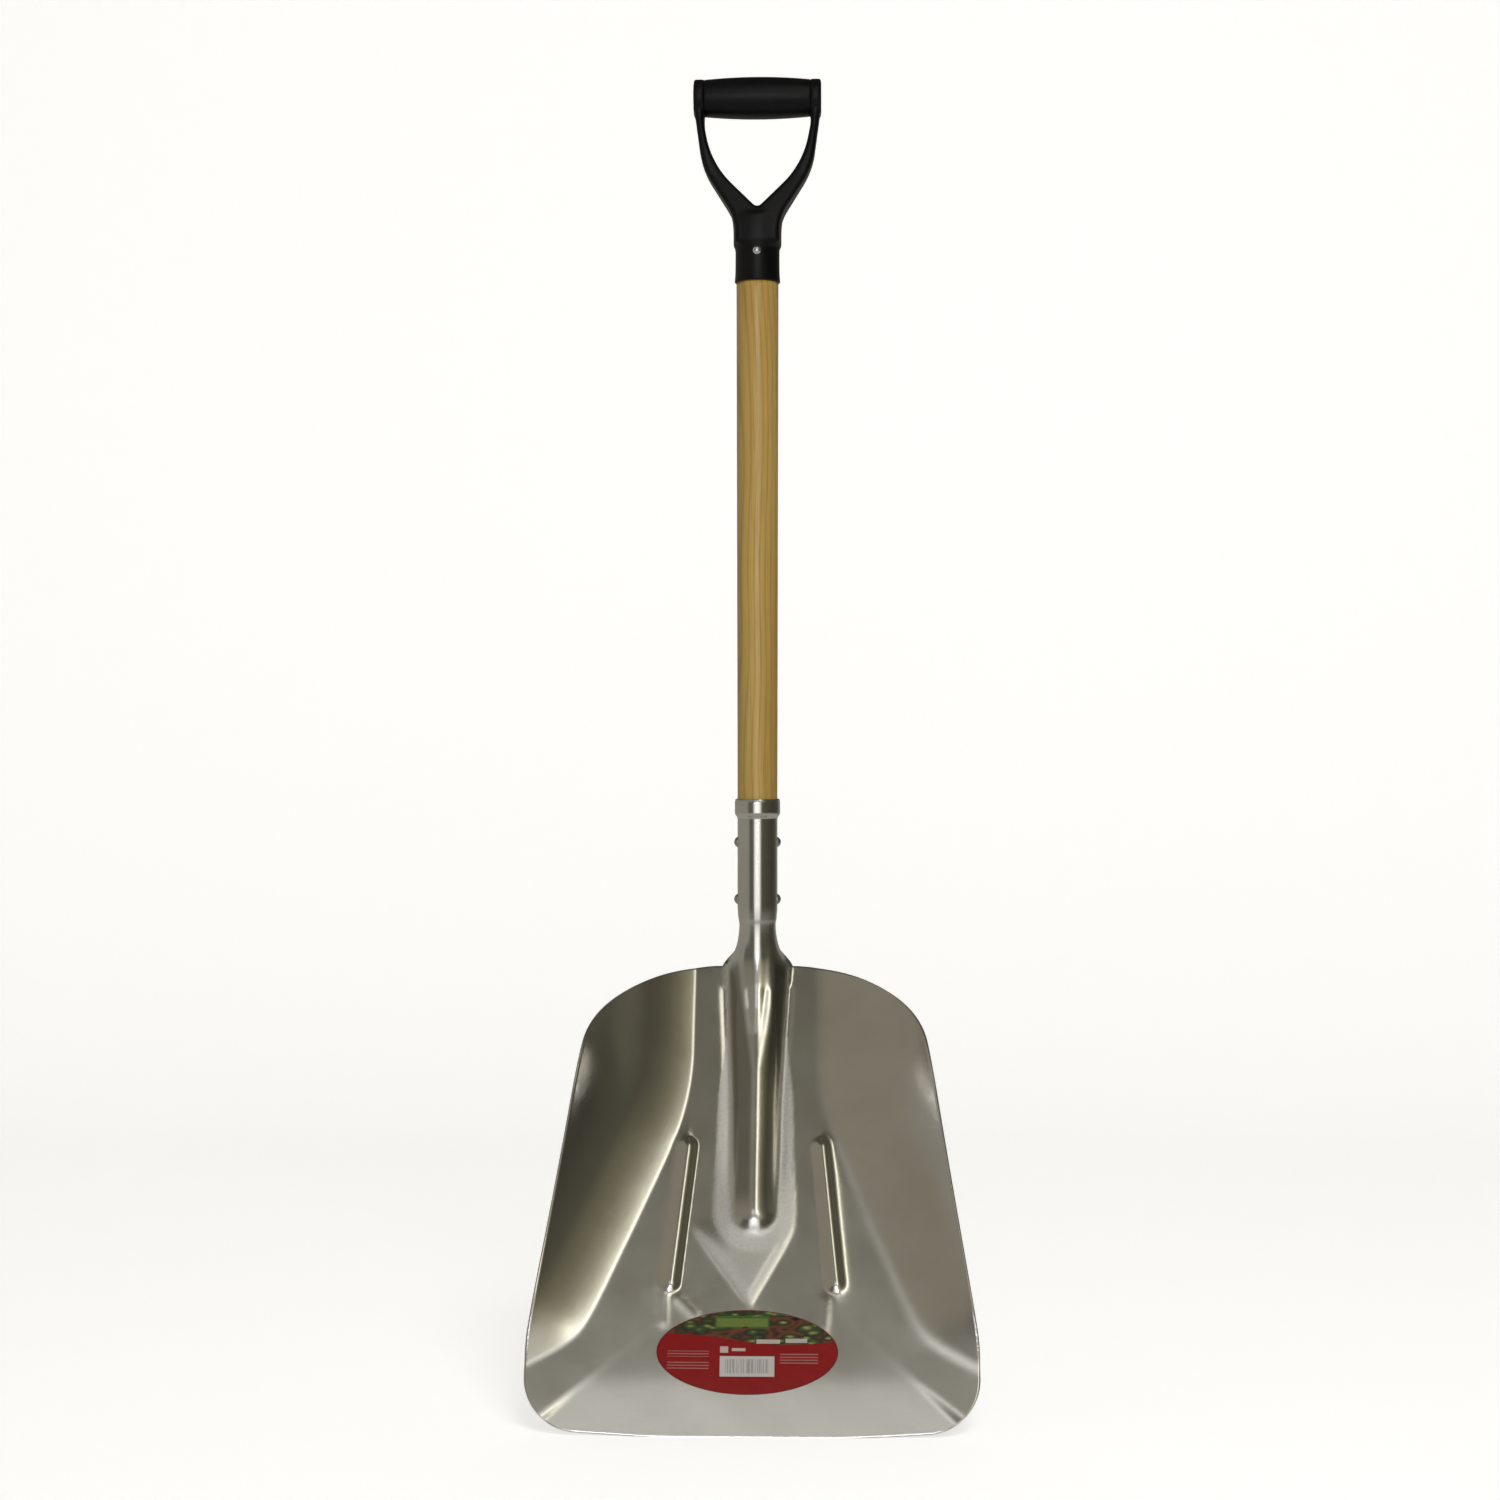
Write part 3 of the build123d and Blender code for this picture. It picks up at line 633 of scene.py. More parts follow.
def shaft_piece():
    """The wooden shaft with its turned-down ends."""
    low_z, top_z = shaft_low[2], shaft_high[2]
    collar_z = yoke_low[2]
    top_radius = (shaft_high[0] - shaft_low[0]) / 2
    low_radius = top_radius - 1.0
    in_socket = TUBE_RADIUS - HALF_SHEET - 0.2
    in_collar = COLLAR_BORE - 0.2
    profile = [
        (0, low_z),
        (in_socket - 3, low_z),
        (in_socket - 1.1, low_z + 2),
        (in_socket, CLOSED_Z + 3),
        (in_socket, BELL_Z),
        (low_radius - 0.15, BELL_Z + 6.5),
        (low_radius, BELL_Z + 9),
        (top_radius, collar_z),
        (in_collar, collar_z),
        (in_collar, top_z - 2),
        (in_collar - 2, top_z),
        (0, top_z),
    ]
    points, faces = lathe(filled(profile, 6), 96, np.array([0, SHAFT_Y, 0]), (0, 0, 1), SHAFT_WOBBLE)
    return mesh_object("shaft_wood", points, faces)


def rivet_end(seat, head, dome, shank):
    """Half profile of a rivet as (radius, along): the head's dome, its rim and the shank."""
    ball = (head * head + dome * dome) / (2 * dome)
    arc = []
    for k in range(8):
        a = math.asin(head / ball) * k / 8
        arc.append((ball * math.sin(a), seat + dome - ball + ball * math.cos(a)))
    rim = [(head - 0.15, seat + 0.25), (head, seat - 0.1), (head - 0.2, seat - 1.2)]
    return arc + rim + [(shank, seat - 1.3)]


def rivet_piece(node, axis, seat, dome):
    """A rivet with a slightly hammered domed head at each end. Its heads sit seat away from its middle."""
    low, high = box_mm(node)
    centre = (low + high) / 2
    head = (high - low)[2] / 2
    upper = rivet_end(seat, head, dome, 0.5 * head)
    lower = [(r, -h) for r, h in upper]
    points, faces = lathe(lower + upper[::-1], 40, centre, axis)
    out = points - centre
    on_head = np.abs(out @ np.array(axis, float)) > seat
    points += HAMMERING * np.sin(out * 1.9 + 0.7)[:, [1, 2, 0]] * on_head[:, None]
    return mesh_object(node.replace("rivet", "rivet_head"), points, faces)


def bar_piece():
    """The grip's barrel bar with its bore."""
    half = (bar_high[0] - bar_low[0]) / 2
    middle, end, bore = (bar_high[2] - bar_low[2]) / 2, CHEEK_RADIUS - 0.15, SPIGOT_RADIUS + 0.3
    outline = []
    for k in range(-30, 31):
        x = k / 30
        outline.append((end + (middle - end) * (1 - x * x), x * (half - 0.5)))
    profile = [(bore, -half), (end - 0.5, -half), (end - 0.15, -half + 0.15)] + outline
    profile += [(end - 0.15, half - 0.15), (end - 0.5, half), (bore, half)]
    points, faces = lathe(profile, 96, np.array([0, SHAFT_Y, BAR_Z]), (1, 0, 0))
    return mesh_object("grip_barrel", points, faces)


# D-grip ---------------------------------------------------

CHEEK_OUTER = yoke_high[0]
CHEEK_INNER = bar_high[0] + 0.2
COLLAR_Z = yoke_low[2]
COLLAR_RADIUS = 19.8
COLLAR_HEIGHT = 58.0
COLLAR_BORE = 16.4
RIM_RADIUS = (yoke_high[1] - yoke_low[1]) / 2
ARM_HALF_DEPTHS = (19.6, 13.4)  # front to back, at the collar and at the cheeks
SPIGOT_RADIUS = 12.3
SPIGOT_LENGTH = 8.3


def yoke_outline():
    """Closed front view of the collar's top, arms and cheeks, as x and z."""
    corners = [
        ((COLLAR_RADIUS, COLLAR_Z + 34), 0),
        ((COLLAR_RADIUS, COLLAR_Z + 55.9), 45),
        ((49.5, BAR_Z - 64.1), 70),
        ((CHEEK_OUTER, BAR_Z - 11.9), 60),
        ((CHEEK_OUTER, BAR_Z + CHEEK_RADIUS), 0),
        ((CHEEK_INNER, BAR_Z + CHEEK_RADIUS), 0),
        ((CHEEK_INNER, BAR_Z - 24.9), 40),
        ((40.8, BAR_Z - 60.5), 80),
    ]
    left = [((-x, z), radius) for (x, z), radius in corners[::-1]]
    corners = corners + [((0, BAR_Z - 101.3), 5)] + left
    return rounded([p for p, _ in corners], [r for _, r in corners], 12)


def signed_distance(x, z, outline):
    """Distance to a closed outline, negative inside it."""
    shape = np.broadcast(x, z).shape
    x, z = np.broadcast_to(x, shape).ravel(), np.broadcast_to(z, shape).ravel()
    near = np.full(len(x), np.inf)
    inside = np.zeros(len(x), bool)
    for a, b in zip(outline, np.roll(outline, -1, axis=0)):
        if np.allclose(a, b):
            continue
        near = np.minimum(near, segment_distance(x, z, a, b))
        crosses = (a[1] > z) != (b[1] > z)
        if a[1] != b[1]:
            inside ^= crosses & (x < a[0] + (z - a[1]) * (b[0] - a[0]) / (b[1] - a[1]))
    return np.where(inside, -near, near).reshape(shape)


def join(a, b, k):
    """Union of two distance fields, blended over k."""
    h = np.clip(k - np.abs(a - b), 0, None) / k
    return np.minimum(a, b) - h * h * k / 4


def rounded_common(a, b, r):
    """Intersection of two distance fields with its edge rounded to r."""
    outer = np.hypot(np.clip(a + r, 0, None), np.clip(b + r, 0, None))
    return np.minimum(np.maximum(a, b) + r, 0) + outer - r


OUTLINE = yoke_outline()


def yoke_field(x, y, z):
    """Distance field of the yoke in millimetres, with y from the shaft axis."""
    low_depth, high_depth = ARM_HALF_DEPTHS
    depth = low_depth + (high_depth - low_depth) * smooth_step(z, COLLAR_Z + 46, COLLAR_Z + 100)
    round_top = np.hypot(y, z - BAR_Z) - CHEEK_RADIUS
    side_view = np.minimum(round_top, np.maximum(np.abs(y) - depth, z - BAR_Z))
    arms = rounded_common(signed_distance(x, z, OUTLINE), side_view, 4.2)
    flare = RIM_RADIUS - COLLAR_RADIUS
    radius = COLLAR_RADIUS + flare * np.exp(-np.clip(z - COLLAR_Z, 0, None) / 5)
    height = np.maximum(COLLAR_Z - z, z - COLLAR_Z - COLLAR_HEIGHT)
    collar = rounded_common(np.hypot(x, y) - radius, height, 0.9)
    body = join(arms, collar, 7)
    side = np.maximum(np.abs(x) - CHEEK_OUTER, CHEEK_INNER - np.abs(x))
    from_bar = np.hypot(y, z - BAR_Z)
    body = join(body, rounded_common(from_bar - CHEEK_RADIUS, side, 1.8), 3)
    inward = CHEEK_INNER - np.abs(x)
    spigot = np.maximum(np.maximum(inward - SPIGOT_LENGTH, -inward - 0.7), from_bar - SPIGOT_RADIUS)
    bore = np.maximum(np.hypot(x, y) - COLLAR_BORE, z - shaft_high[2] - 0.5)
    return np.maximum(np.minimum(body, spigot), -bore)


def surface_of(field, low, high, step):
    """Quad mesh of a field's zero surface: one vertex in each crossed cell, moved onto the surface."""
    axes = [np.arange(a, b + step, step) for a, b in zip(low, high)]
    x, y, z = np.ix_(*axes)
    value = np.broadcast_to(field(x, y, z), [len(a) for a in axes])
    inside = value < 0
    shape = np.array(inside.shape) - 1
    total = np.zeros(shape, np.int8)
    for corner in np.ndindex(2, 2, 2):
        total += inside[tuple(slice(first, first + n) for first, n in zip(corner, shape))]
    active = (total > 0) & (total < 8)
    index = np.full(shape, -1, np.int64)
    index[active] = np.arange(active.sum())
    cell = np.argwhere(active)
    points = np.array(low) + (cell + 0.5) * step
    nudge = 0.05
    for _ in range(5):
        sides = [field(*(points + d).T) - field(*(points - d).T) for d in np.eye(3) * nudge]
        gradient = np.stack(sides, axis=1) / (2 * nudge)
        slope = np.maximum((gradient**2).sum(axis=1), 0.2)
        move = -(field(*points.T) / slope)[:, None] * gradient
        length = np.maximum(np.linalg.norm(move, axis=1), 1e-9)
        points += move * np.minimum(1, 0.6 * step / length)[:, None]
    faces = []
    for axis in range(3):
        a, b = (axis + 1) % 3, (axis + 2) % 3
        lower = [slice(None)] * 3
        upper = [slice(None)] * 3
        lower[axis], upper[axis] = slice(0, -1), slice(1, None)
        first, second = inside[tuple(lower)], inside[tuple(upper)]
        for starts, flip in ((first & ~second, False), (~first & second, True)):
            at = np.argwhere(starts)
            quad = []
            for da, db in ((0, 0), (-1, 0), (-1, -1), (0, -1)):
                corner = at.copy()
                corner[:, a] += da
                corner[:, b] += db
                quad.append(index[tuple(corner.T)])
            quad = np.stack(quad, axis=1)
            faces.append(quad[:, ::-1] if flip else quad)
    return points, np.concatenate(faces)


QUICK_GRID, FINE_GRID = 1.5, 0.9


def yoke_piece():
    """The moulded collar, arms and cheeks in one piece."""
    # The margins below differ, so that no flat or 45 degree face runs through the sampling points.
    low = (-CHEEK_OUTER - 2.3, -RIM_RADIUS - 2.1, COLLAR_Z - 2.37)
    high = (CHEEK_OUTER + 2, RIM_RADIUS + 2, BAR_Z + CHEEK_RADIUS + 2)
    points, faces = surface_of(yoke_field, low, high, FINE_GRID)
    return mesh_object("grip_moulding", points + np.array([0, SHAFT_Y, 0]), faces)


# Materials ------------------------------------------------


class Nodes:
    """Small helper that adds nodes to a material's or the world's tree."""

    def __init__(self, owner):
        owner.use_nodes = True
        self.owner = owner
        self.tree = owner.node_tree

    def node(self, kind, **inputs):
        """A new node. Names that are node properties are set, and the others are inputs."""
        made = self.tree.nodes.new(kind)
        for key, value in inputs.items():
            if hasattr(made, key):
                setattr(made, key, value)
            else:
                self.put(made.inputs[key.replace("_", " ")], value)
        return made

    def put(self, socket, value):
        """Links an output to the socket, or sets its plain value."""
        if isinstance(value, bpy.types.NodeSocket):
            self.tree.links.new(value, socket)
        elif socket.type == "RGBA":
            socket.default_value = (*value, 1)
        else:
            socket.default_value = value

    def math(self, operation, a, b=0.0, c=0.0):
        made = self.node("ShaderNodeMath", operation=operation)
        for socket, value in zip(made.inputs, (a, b, c)):
            self.put(socket, value)
        return made.outputs[0]

    def times(self, a, b):
        return self.math("MULTIPLY", a, b)

    def plus(self, a, b):
        return self.math("ADD", a, b)

    def mix(self, factor, a, b):
        """Colour a where the factor is 0 and b where it is 1."""
        made = self.node("ShaderNodeMix", data_type="RGBA")
        for socket, value in ((made.inputs[0], factor), (made.inputs[6], a), (made.inputs[7], b)):
            self.put(socket, value)
        return made.outputs[2]

    def ramp(self, factor, stops):
        """Value or colour ramp through (position, value or colour) stops."""
        made = self.node("ShaderNodeValToRGB", Fac=factor)
        ramp = made.color_ramp
        while len(ramp.elements) < len(stops):
            ramp.elements.new(1.0)
        for element, (position, colour) in zip(ramp.elements, stops):
            element.position = position
            element.color = (*colour, 1) if isinstance(colour, tuple) else (colour, colour, colour, 1)
        return made.outputs["Color"]

    def span(self, value, low, high):
        """0 below the low end, 1 above the high end, and straight between them."""
        return self.ramp(value, [(low, 0.0), (high, 1.0)])

    def where(self, source="Object"):
        return self.node("ShaderNodeTexCoord").outputs[source]

    def place(self, scale, source="Object", rotation=(0, 0, 0)):
        """Texture coordinates, stretched."""
        inputs = dict(Vector=self.where(source), Scale=scale, Rotation=rotation)
        return self.node("ShaderNodeMapping", **inputs).outputs[0]

    def split(self, where):
        """The three components of a vector."""
        return self.node("ShaderNodeSeparateXYZ", Vector=where).outputs

    def noise(self, where, scale=1.0, detail=3.0, roughness=0.5):
        inputs = dict(Vector=where, Scale=scale, Detail=detail, Roughness=roughness)
        return self.node("ShaderNodeTexNoise", **inputs).outputs[0]

    def bump(self, height, distance, strength, normal=None):
        made = self.node("ShaderNodeBump", Height=height, Distance=distance, Strength=strength)
        if normal is not None:
            self.put(made.inputs["Normal"], normal)
        return made.outputs[0]

    def finish(self, **inputs):
        """Sets the surface's inputs and returns the material."""
        shader = self.tree.nodes["Principled BSDF"]
        for key, value in inputs.items():
            self.put(shader.inputs[key.replace("_", " ")], value)
        return self.owner


def material(name):
    return Nodes(bpy.data.materials.new(name))


def aluminium():
    """Rolled aluminium, finely brushed and scratched. Where pressing stretched the skin it is rougher and
    also painted lighter as a painted highlight, and the ridge's walls carry painted shade.
    """
    m = material("scoop_aluminium")
    fine = m.noise(m.place((0.9, 60, 1), "UV"), 9, 4, 0.65)
    coarse = m.noise(m.place((0.5, 14, 1), "UV"), 6, 3, 0.5)
    clouds = m.noise(m.place((1, 1, 1), "UV"), 1.7, 3, 0.55)
    brushed = m.plus(m.times(fine, 0.65), m.times(coarse, 0.35))
    colour = m.mix(m.span(clouds, 0.3, 0.7), (0.70, 0.685, 0.64), (0.77, 0.76, 0.72))
    colour = m.mix(m.times(m.ramp(fine, [(0.35, 1.0), (0.6, 0.0)]), 0.16), colour, (0.45, 0.44, 0.40))

    painted_light_and_stretch = m.node("ShaderNodeAttribute", attribute_name="stretch_and_painted_light").outputs["Fac"]
    peel = m.noise(m.place((1, 1, 1), "UV"), 34, 3, 0.6)
    stretch_and_highlight = m.times(m.math("MAXIMUM", painted_light_and_stretch, 0.0), m.ramp(peel, [(0.3, 0.6), (0.6, 1.0)]))
    # Painted shade: darker colour on the ridge's walls, where the stretch value is negative.
    painted_wall_shade = m.math("MAXIMUM", m.times(painted_light_and_stretch, -0.75), 0.0)
    colour = m.mix(painted_wall_shade, colour, (0.16, 0.155, 0.135))
    # Painted highlight: the stretched skin's colour is painted near white, besides its real extra roughness
    # and bump.
    colour = m.mix(stretch_and_highlight, colour, (1.0, 0.99, 0.98))
    rough = m.plus(m.plus(0.13, m.times(m.plus(brushed, clouds), 0.06)), m.times(stretch_and_highlight, 0.38))

    along = m.place((2.5, 26, 1), "UV", (0, 0, 0.35))
    scratch = m.node("ShaderNodeTexVoronoi", Vector=along, Scale=2.2, feature="DISTANCE_TO_EDGE").outputs[0]
    normal = m.bump(peel, 0.00008, m.times(stretch_and_highlight, 0.8))
    normal = m.bump(brushed, 0.00006, 0.35, normal)
    normal = m.bump(m.span(scratch, 0.0, 0.012), 0.00002, 0.25, normal)
    return m.finish(
        Base_Color=colour,
        Metallic=1.0,
        Roughness=rough,
        Anisotropic=0.45,
        Anisotropic_Rotation=0.25,
        Tangent=m.node("ShaderNodeTangent", direction_type="UV_MAP", uv_map="sheet").outputs[0],
        Normal=normal,
    )


def spotted_metal(name, scale, detail, spread, dark, light, rough, bump):
    """Finely spotted metal of a rivet. rough is its least roughness and what the spots add to it."""
    m = material(name)
    spots = m.noise(m.place((scale, scale, scale)), 1.0, *detail)
    return m.finish(
        Base_Color=m.mix(m.ramp(spots, [(spread[0], 0.0), (spread[1], 1.0)]), dark, light),
        Metallic=1.0,
        Roughness=m.plus(rough[0], m.times(spots, rough[1])),
        Normal=m.bump(spots, bump, 0.4),
    )


def socket_rivet_metal():
    dark, light = (0.42, 0.41, 0.39), (0.62, 0.61, 0.58)
    return spotted_metal("socket_rivet_metal", 900, (4, 0.6), (0.4, 0.65), dark, light, (0.3, 0.25), 0.0002)


def grip_rivet_metal():
    dark, light = (0.72, 0.78, 0.82), (0.9, 0.93, 0.95)
    return spotted_metal("grip_rivet_steel", 700, (3, 0.5), (0.35, 0.7), dark, light, (0.16, 0.16), 0.0001)


YOKE_TONES = (0.0026, 0.0026, 0.0034), (0.0055, 0.0055, 0.0066)
BAR_TONES = (0.0024, 0.0024, 0.0034), (0.005, 0.005, 0.0064)


def moulded_plastic(name, dark, light):
    """Black moulded plastic with a fine spark-eroded grain and faint rubbing."""
    m = material(name)
    grain = m.noise(m.place((1400, 1400, 1400)), 1.0, 3, 0.6)
    rub = m.noise(m.place((26, 26, 26)), 1.0, 4, 0.6)
    colour = m.mix(m.span(rub, 0.35, 0.75), dark, light)
    speck = m.span(m.noise(m.place((520, 520, 520)), 1.0, 2, 0.5), 0.68, 0.76)
    colour = m.mix(m.times(speck, 0.3), colour, (0.022, 0.022, 0.023))
    rough = m.plus(0.27, m.times(m.plus(grain, rub), 0.10))
    return m.finish(
        Base_Color=colour, Roughness=rough, Specular_IOR_Level=0.24, Normal=m.bump(grain, 0.00012, 0.4)
    )


def lacquered_wood():
    """Ash with long grain, darker growth lines in drawn-out arches, and a clear coat."""
    m = material("shaft_ash")
    bend = m.noise(m.place((9, 9, 2.6)), 1.0, 2, 0.5)
    x, y, z = m.split(m.where())
    across = m.plus(x, m.times(m.math("SUBTRACT", bend, 0.5), 0.034))
    depth = m.plus(m.plus(across, m.times(z, 0.012)), m.times(y, 0.35))
    growth = m.math("SINE", m.times(depth, 1150.0))
    lines = m.ramp(m.math("MULTIPLY_ADD", growth, 0.5, 0.5), [(0.0, 0.0), (0.72, 0.15), (1.0, 1.0)])
    pores = m.noise(m.place((900, 900, 16)), 1.0, 4, 0.6)
    tone = m.noise(m.place((40, 40, 3.5)), 1.0, 3, 0.5)
    colour = m.mix(m.span(tone, 0.3, 0.7), (0.53, 0.335, 0.082), (0.64, 0.43, 0.120))
    colour = m.mix(m.times(lines, 0.42), colour, (0.33, 0.175, 0.045))
    deep_pores = m.span(pores, 0.52, 0.70)
    colour = m.mix(m.times(deep_pores, 0.45), colour, (0.27, 0.145, 0.04))
    return m.finish(
        Base_Color=colour,
        Roughness=m.plus(0.36, m.times(pores, 0.16)),
        Specular_IOR_Level=0.45,
        Coat_Weight=0.45,
        Coat_Roughness=0.22,
        Normal=m.bump(pores, 0.00015, 0.35),
    )


# The label's plain printed blocks, each as (x0, x1, y0, y1) with the oval reaching from -1 to 1.
LABEL_LEAF = (-0.36, 0.24, 0.56, 0.86)
LABEL_LEAF_LIGHT = (-0.34, 0.22, 0.60, 0.80)
LABEL_TABS = (
    (0.10, 0.36, 0.20, 0.30),
    (0.42, 0.66, 0.22, 0.32),
    (-0.30, -0.21, -0.02, 0.13),
    (-0.17, -0.02, 0.02, 0.09),
)
LABEL_RULES = ((-0.88, -0.42, -0.12, 0.02), (0.36, 0.78, -0.28, -0.02), (-0.88, -0.42, -0.42, -0.2))
LABEL_PANEL = (-0.30, 0.30, -0.58, -0.10)
LABEL_BARS = (-0.24, 0.24, -0.50, -0.17)
LABEL_FOLIAGE = (
    (0.10, (0.42, 0.33, 0.12)),
    (0.28, (0.05, 0.11, 0.03)),
    (0.45, (0.035, 0.028, 0.02)),
    (0.62, (0.16, 0.06, 0.03)),
    (0.80, (0.01, 0.012, 0.01)),
)


def printed_label():
    """Generic print: red oval, foliage colours above, and a white panel, tabs and rules of plain bars."""
    m = material("label")
    x, y, _ = m.split(m.where("UV"))

    def above(value, limit):
        return m.math("GREATER_THAN", value, limit)

    def block(x0, x1, y0, y1):
        across = m.times(above(x, x0), m.math("LESS_THAN", x, x1))
        return m.times(across, m.times(above(y, y0), m.math("LESS_THAN", y, y1)))

    def noise(scale, size, detail):
        return m.noise(m.place(scale, "UV"), size, detail)

    red = m.mix(noise((3, 3, 3), 2.0, 3), (0.22, 0.005, 0.006), (0.34, 0.011, 0.011))
    spread = m.place((4.2, 5.5, 1), "UV")
    blobs = m.node("ShaderNodeTexVoronoi", Vector=spread, Scale=1.6, feature="SMOOTH_F1")
    wave = m.times(m.math("SINE", m.math("MULTIPLY_ADD", x, 2.4, 0.5)), 0.13)
    colour = m.mix(above(m.plus(y, wave), 0.30), red, m.ramp(blobs.outputs[0], LABEL_FOLIAGE))
    leaf = m.times(block(*LABEL_LEAF), above(noise((7, 9, 1), 1.6, 2), 0.40))
    colour = m.mix(leaf, colour, (0.055, 0.15, 0.025))
    colour = m.mix(m.times(block(*LABEL_LEAF_LIGHT), 0.35), colour, (0.35, 0.36, 0.10))
    for tab in LABEL_TABS:
        colour = m.mix(m.times(block(*tab), 0.72), colour, (0.72, 0.66, 0.62))
    stripes = above(m.math("SINE", m.times(y, 92.0)), 0.35)
    for rules in LABEL_RULES:
        colour = m.mix(m.times(m.times(block(*rules), stripes), 0.32), colour, (0.62, 0.50, 0.46))
    colour = m.mix(block(*LABEL_PANEL), colour, (0.62, 0.60, 0.58))
    bars = m.times(block(*LABEL_BARS), above(noise((62, 0.5, 1), 1.0, 1), 0.5))
    colour = m.mix(m.times(bars, 0.5), colour, (0.16, 0.15, 0.15))
    radius = m.math("SQRT", m.plus(m.times(x, x), m.times(y, y)))
    colour = m.mix(above(radius, 0.985), colour, (0.16, 0.015, 0.012))
    return m.finish(
        Base_Color=colour,
        Roughness=0.34,
        Specular_IOR_Level=0.2,
        Coat_Weight=0.12,
        Coat_Roughness=0.12,
        Normal=m.bump(noise((3, 2, 1), 1.4, 3), 0.0006, 0.5),
    )


# Build and place ------------------------------------------

pieces = [
    (scoop_sheet(), "scoop_blade", "scoop_aluminium", aluminium()),
    (label_piece(), "product_label", "label", printed_label()),
    (shaft_piece(), "handle_shaft", "shaft_ash", lacquered_wood()),
    (yoke_piece(), "grip_yoke", "grip_plastic", moulded_plastic("grip_plastic", *YOKE_TONES)),
    (bar_piece(), "grip_bar", "grip_plastic", moulded_plastic("grip_bar_plastic", *BAR_TONES)),
]
socket_metal = socket_rivet_metal()
for node in ("socket_rivet_lower", "socket_rivet_upper"):
    rivet = rivet_piece(node, axis=(1, 0, 0), seat=18.0, dome=3.0)
    pieces.append((rivet, node, "socket_rivet_metal", socket_metal))
rivet = rivet_piece("grip_rivet", axis=(0, 1, 0), seat=19.8, dome=1.8)
pieces.append((rivet, "grip_rivet", "grip_rivet_steel", grip_rivet_metal()))

for obj, node, slot, surface in pieces:
    obj.data.materials.append(surface)
    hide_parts(node)
    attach(obj, "root")

# Studio, in metres ----------------------------------------

CAMERA_DISTANCE = 2.4
CAMERA_HEIGHT = 0.5654
CAMERA_TURN = math.radians(1.7)
LENS_MM, SENSOR_MM = 64.0, 36.0
AXIS_OFFSET = 0.00675          # how far right of the camera's own axis the shaft stands
FLOOR_HALF_WIDTH = 25.0
FLOOR_BACK = 1.6               # where the floor starts to curve up
CURVE_RADIUS = 1.2
BACKDROP_TOP = 12.0

# The surroundings' brightness by direction: rings one above the other. Each ring but the lowest fades in
# between two heights, given as the sine of the angle above the horizon. Its stops hold degrees from
# straight ahead of the open face, positive to the right, and a colour.
LOW_RING = (
    (-180, (0.20, 0.19, 0.17)), (-150, (0.30, 0.285, 0.25)), (-52, (0.30, 0.285, 0.25)),
    (-42, (0.10, 0.096, 0.085)), (-20, (0.10, 0.096, 0.085)), (-14, (1.3, 1.28, 1.24)),
    (13, (1.3, 1.28, 1.24)), (22, (0.08, 0.074, 0.052)), (92, (0.045, 0.042, 0.032)),
    (128, (0.08, 0.076, 0.06)), (145, (0.28, 0.265, 0.24)), (180, (0.20, 0.19, 0.17)),
)
UPPER_RINGS = (
    (0.12, 0.24, (
        (-180, (0.16, 0.15, 0.13)), (-125, (0.27, 0.245, 0.20)), (-35, (0.26, 0.24, 0.19)),
        (-20, (0.18, 0.17, 0.15)), (10, (0.22, 0.215, 0.20)), (16, (0.50, 0.47, 0.36)),
        (26, (0.42, 0.39, 0.28)), (34, (0.20, 0.18, 0.12)), (52, (0.08, 0.074, 0.055)),
        (124, (0.07, 0.066, 0.05)), (180, (0.16, 0.15, 0.13)),
    )),
    (0.40, 0.46, (
        (-180, (0.05, 0.048, 0.042)), (-112, (0.05, 0.048, 0.042)), (-98, (0.27, 0.245, 0.20)),
        (-35, (0.27, 0.25, 0.20)), (-20, (0.27, 0.255, 0.215)), (-13, (0.55, 0.54, 0.52)),
        (-8, (1.15, 1.13, 1.10)), (-2, (0.72, 0.71, 0.69)), (4, (0.64, 0.63, 0.60)),
        (10, (0.80, 0.78, 0.73)), (15, (2.3, 2.23, 1.95)), (21, (2.3, 2.23, 1.95)),
        (25, (0.42, 0.39, 0.275)), (38, (0.17, 0.158, 0.105)), (54, (0.078, 0.073, 0.052)),
        (78, (0.13, 0.122, 0.092)), (124, (0.07, 0.066, 0.05)), (180, (0.05, 0.048, 0.042)),
    )),
    (0.655, 0.715, (
        (-180, (0.05, 0.048, 0.042)), (-112, (0.05, 0.048, 0.042)), (-98, (0.27, 0.245, 0.20)),
        (-35, (0.27, 0.25, 0.20)), (-18, (0.24, 0.225, 0.18)), (-7, (0.125, 0.113, 0.082)),
        (8, (0.12, 0.11, 0.082)), (13, (0.5, 0.48, 0.38)), (16, (2.5, 2.42, 2.1)),
        (21, (2.5, 2.42, 2.1)), (25, (0.46, 0.43, 0.30)), (38, (0.20, 0.183, 0.12)),
        (52, (0.078, 0.072, 0.05)), (124, (0.07, 0.066, 0.05)), (180, (0.05, 0.048, 0.042)),
    )),
)
OVERHEAD = (0.075, 0.07, 0.056)
UNDERFOOT = (0.35, 0.34, 0.31)
SPOT = (16.0, 16.0, 16.5)   # small bright spot straight ahead, which the grip's bar mirrors


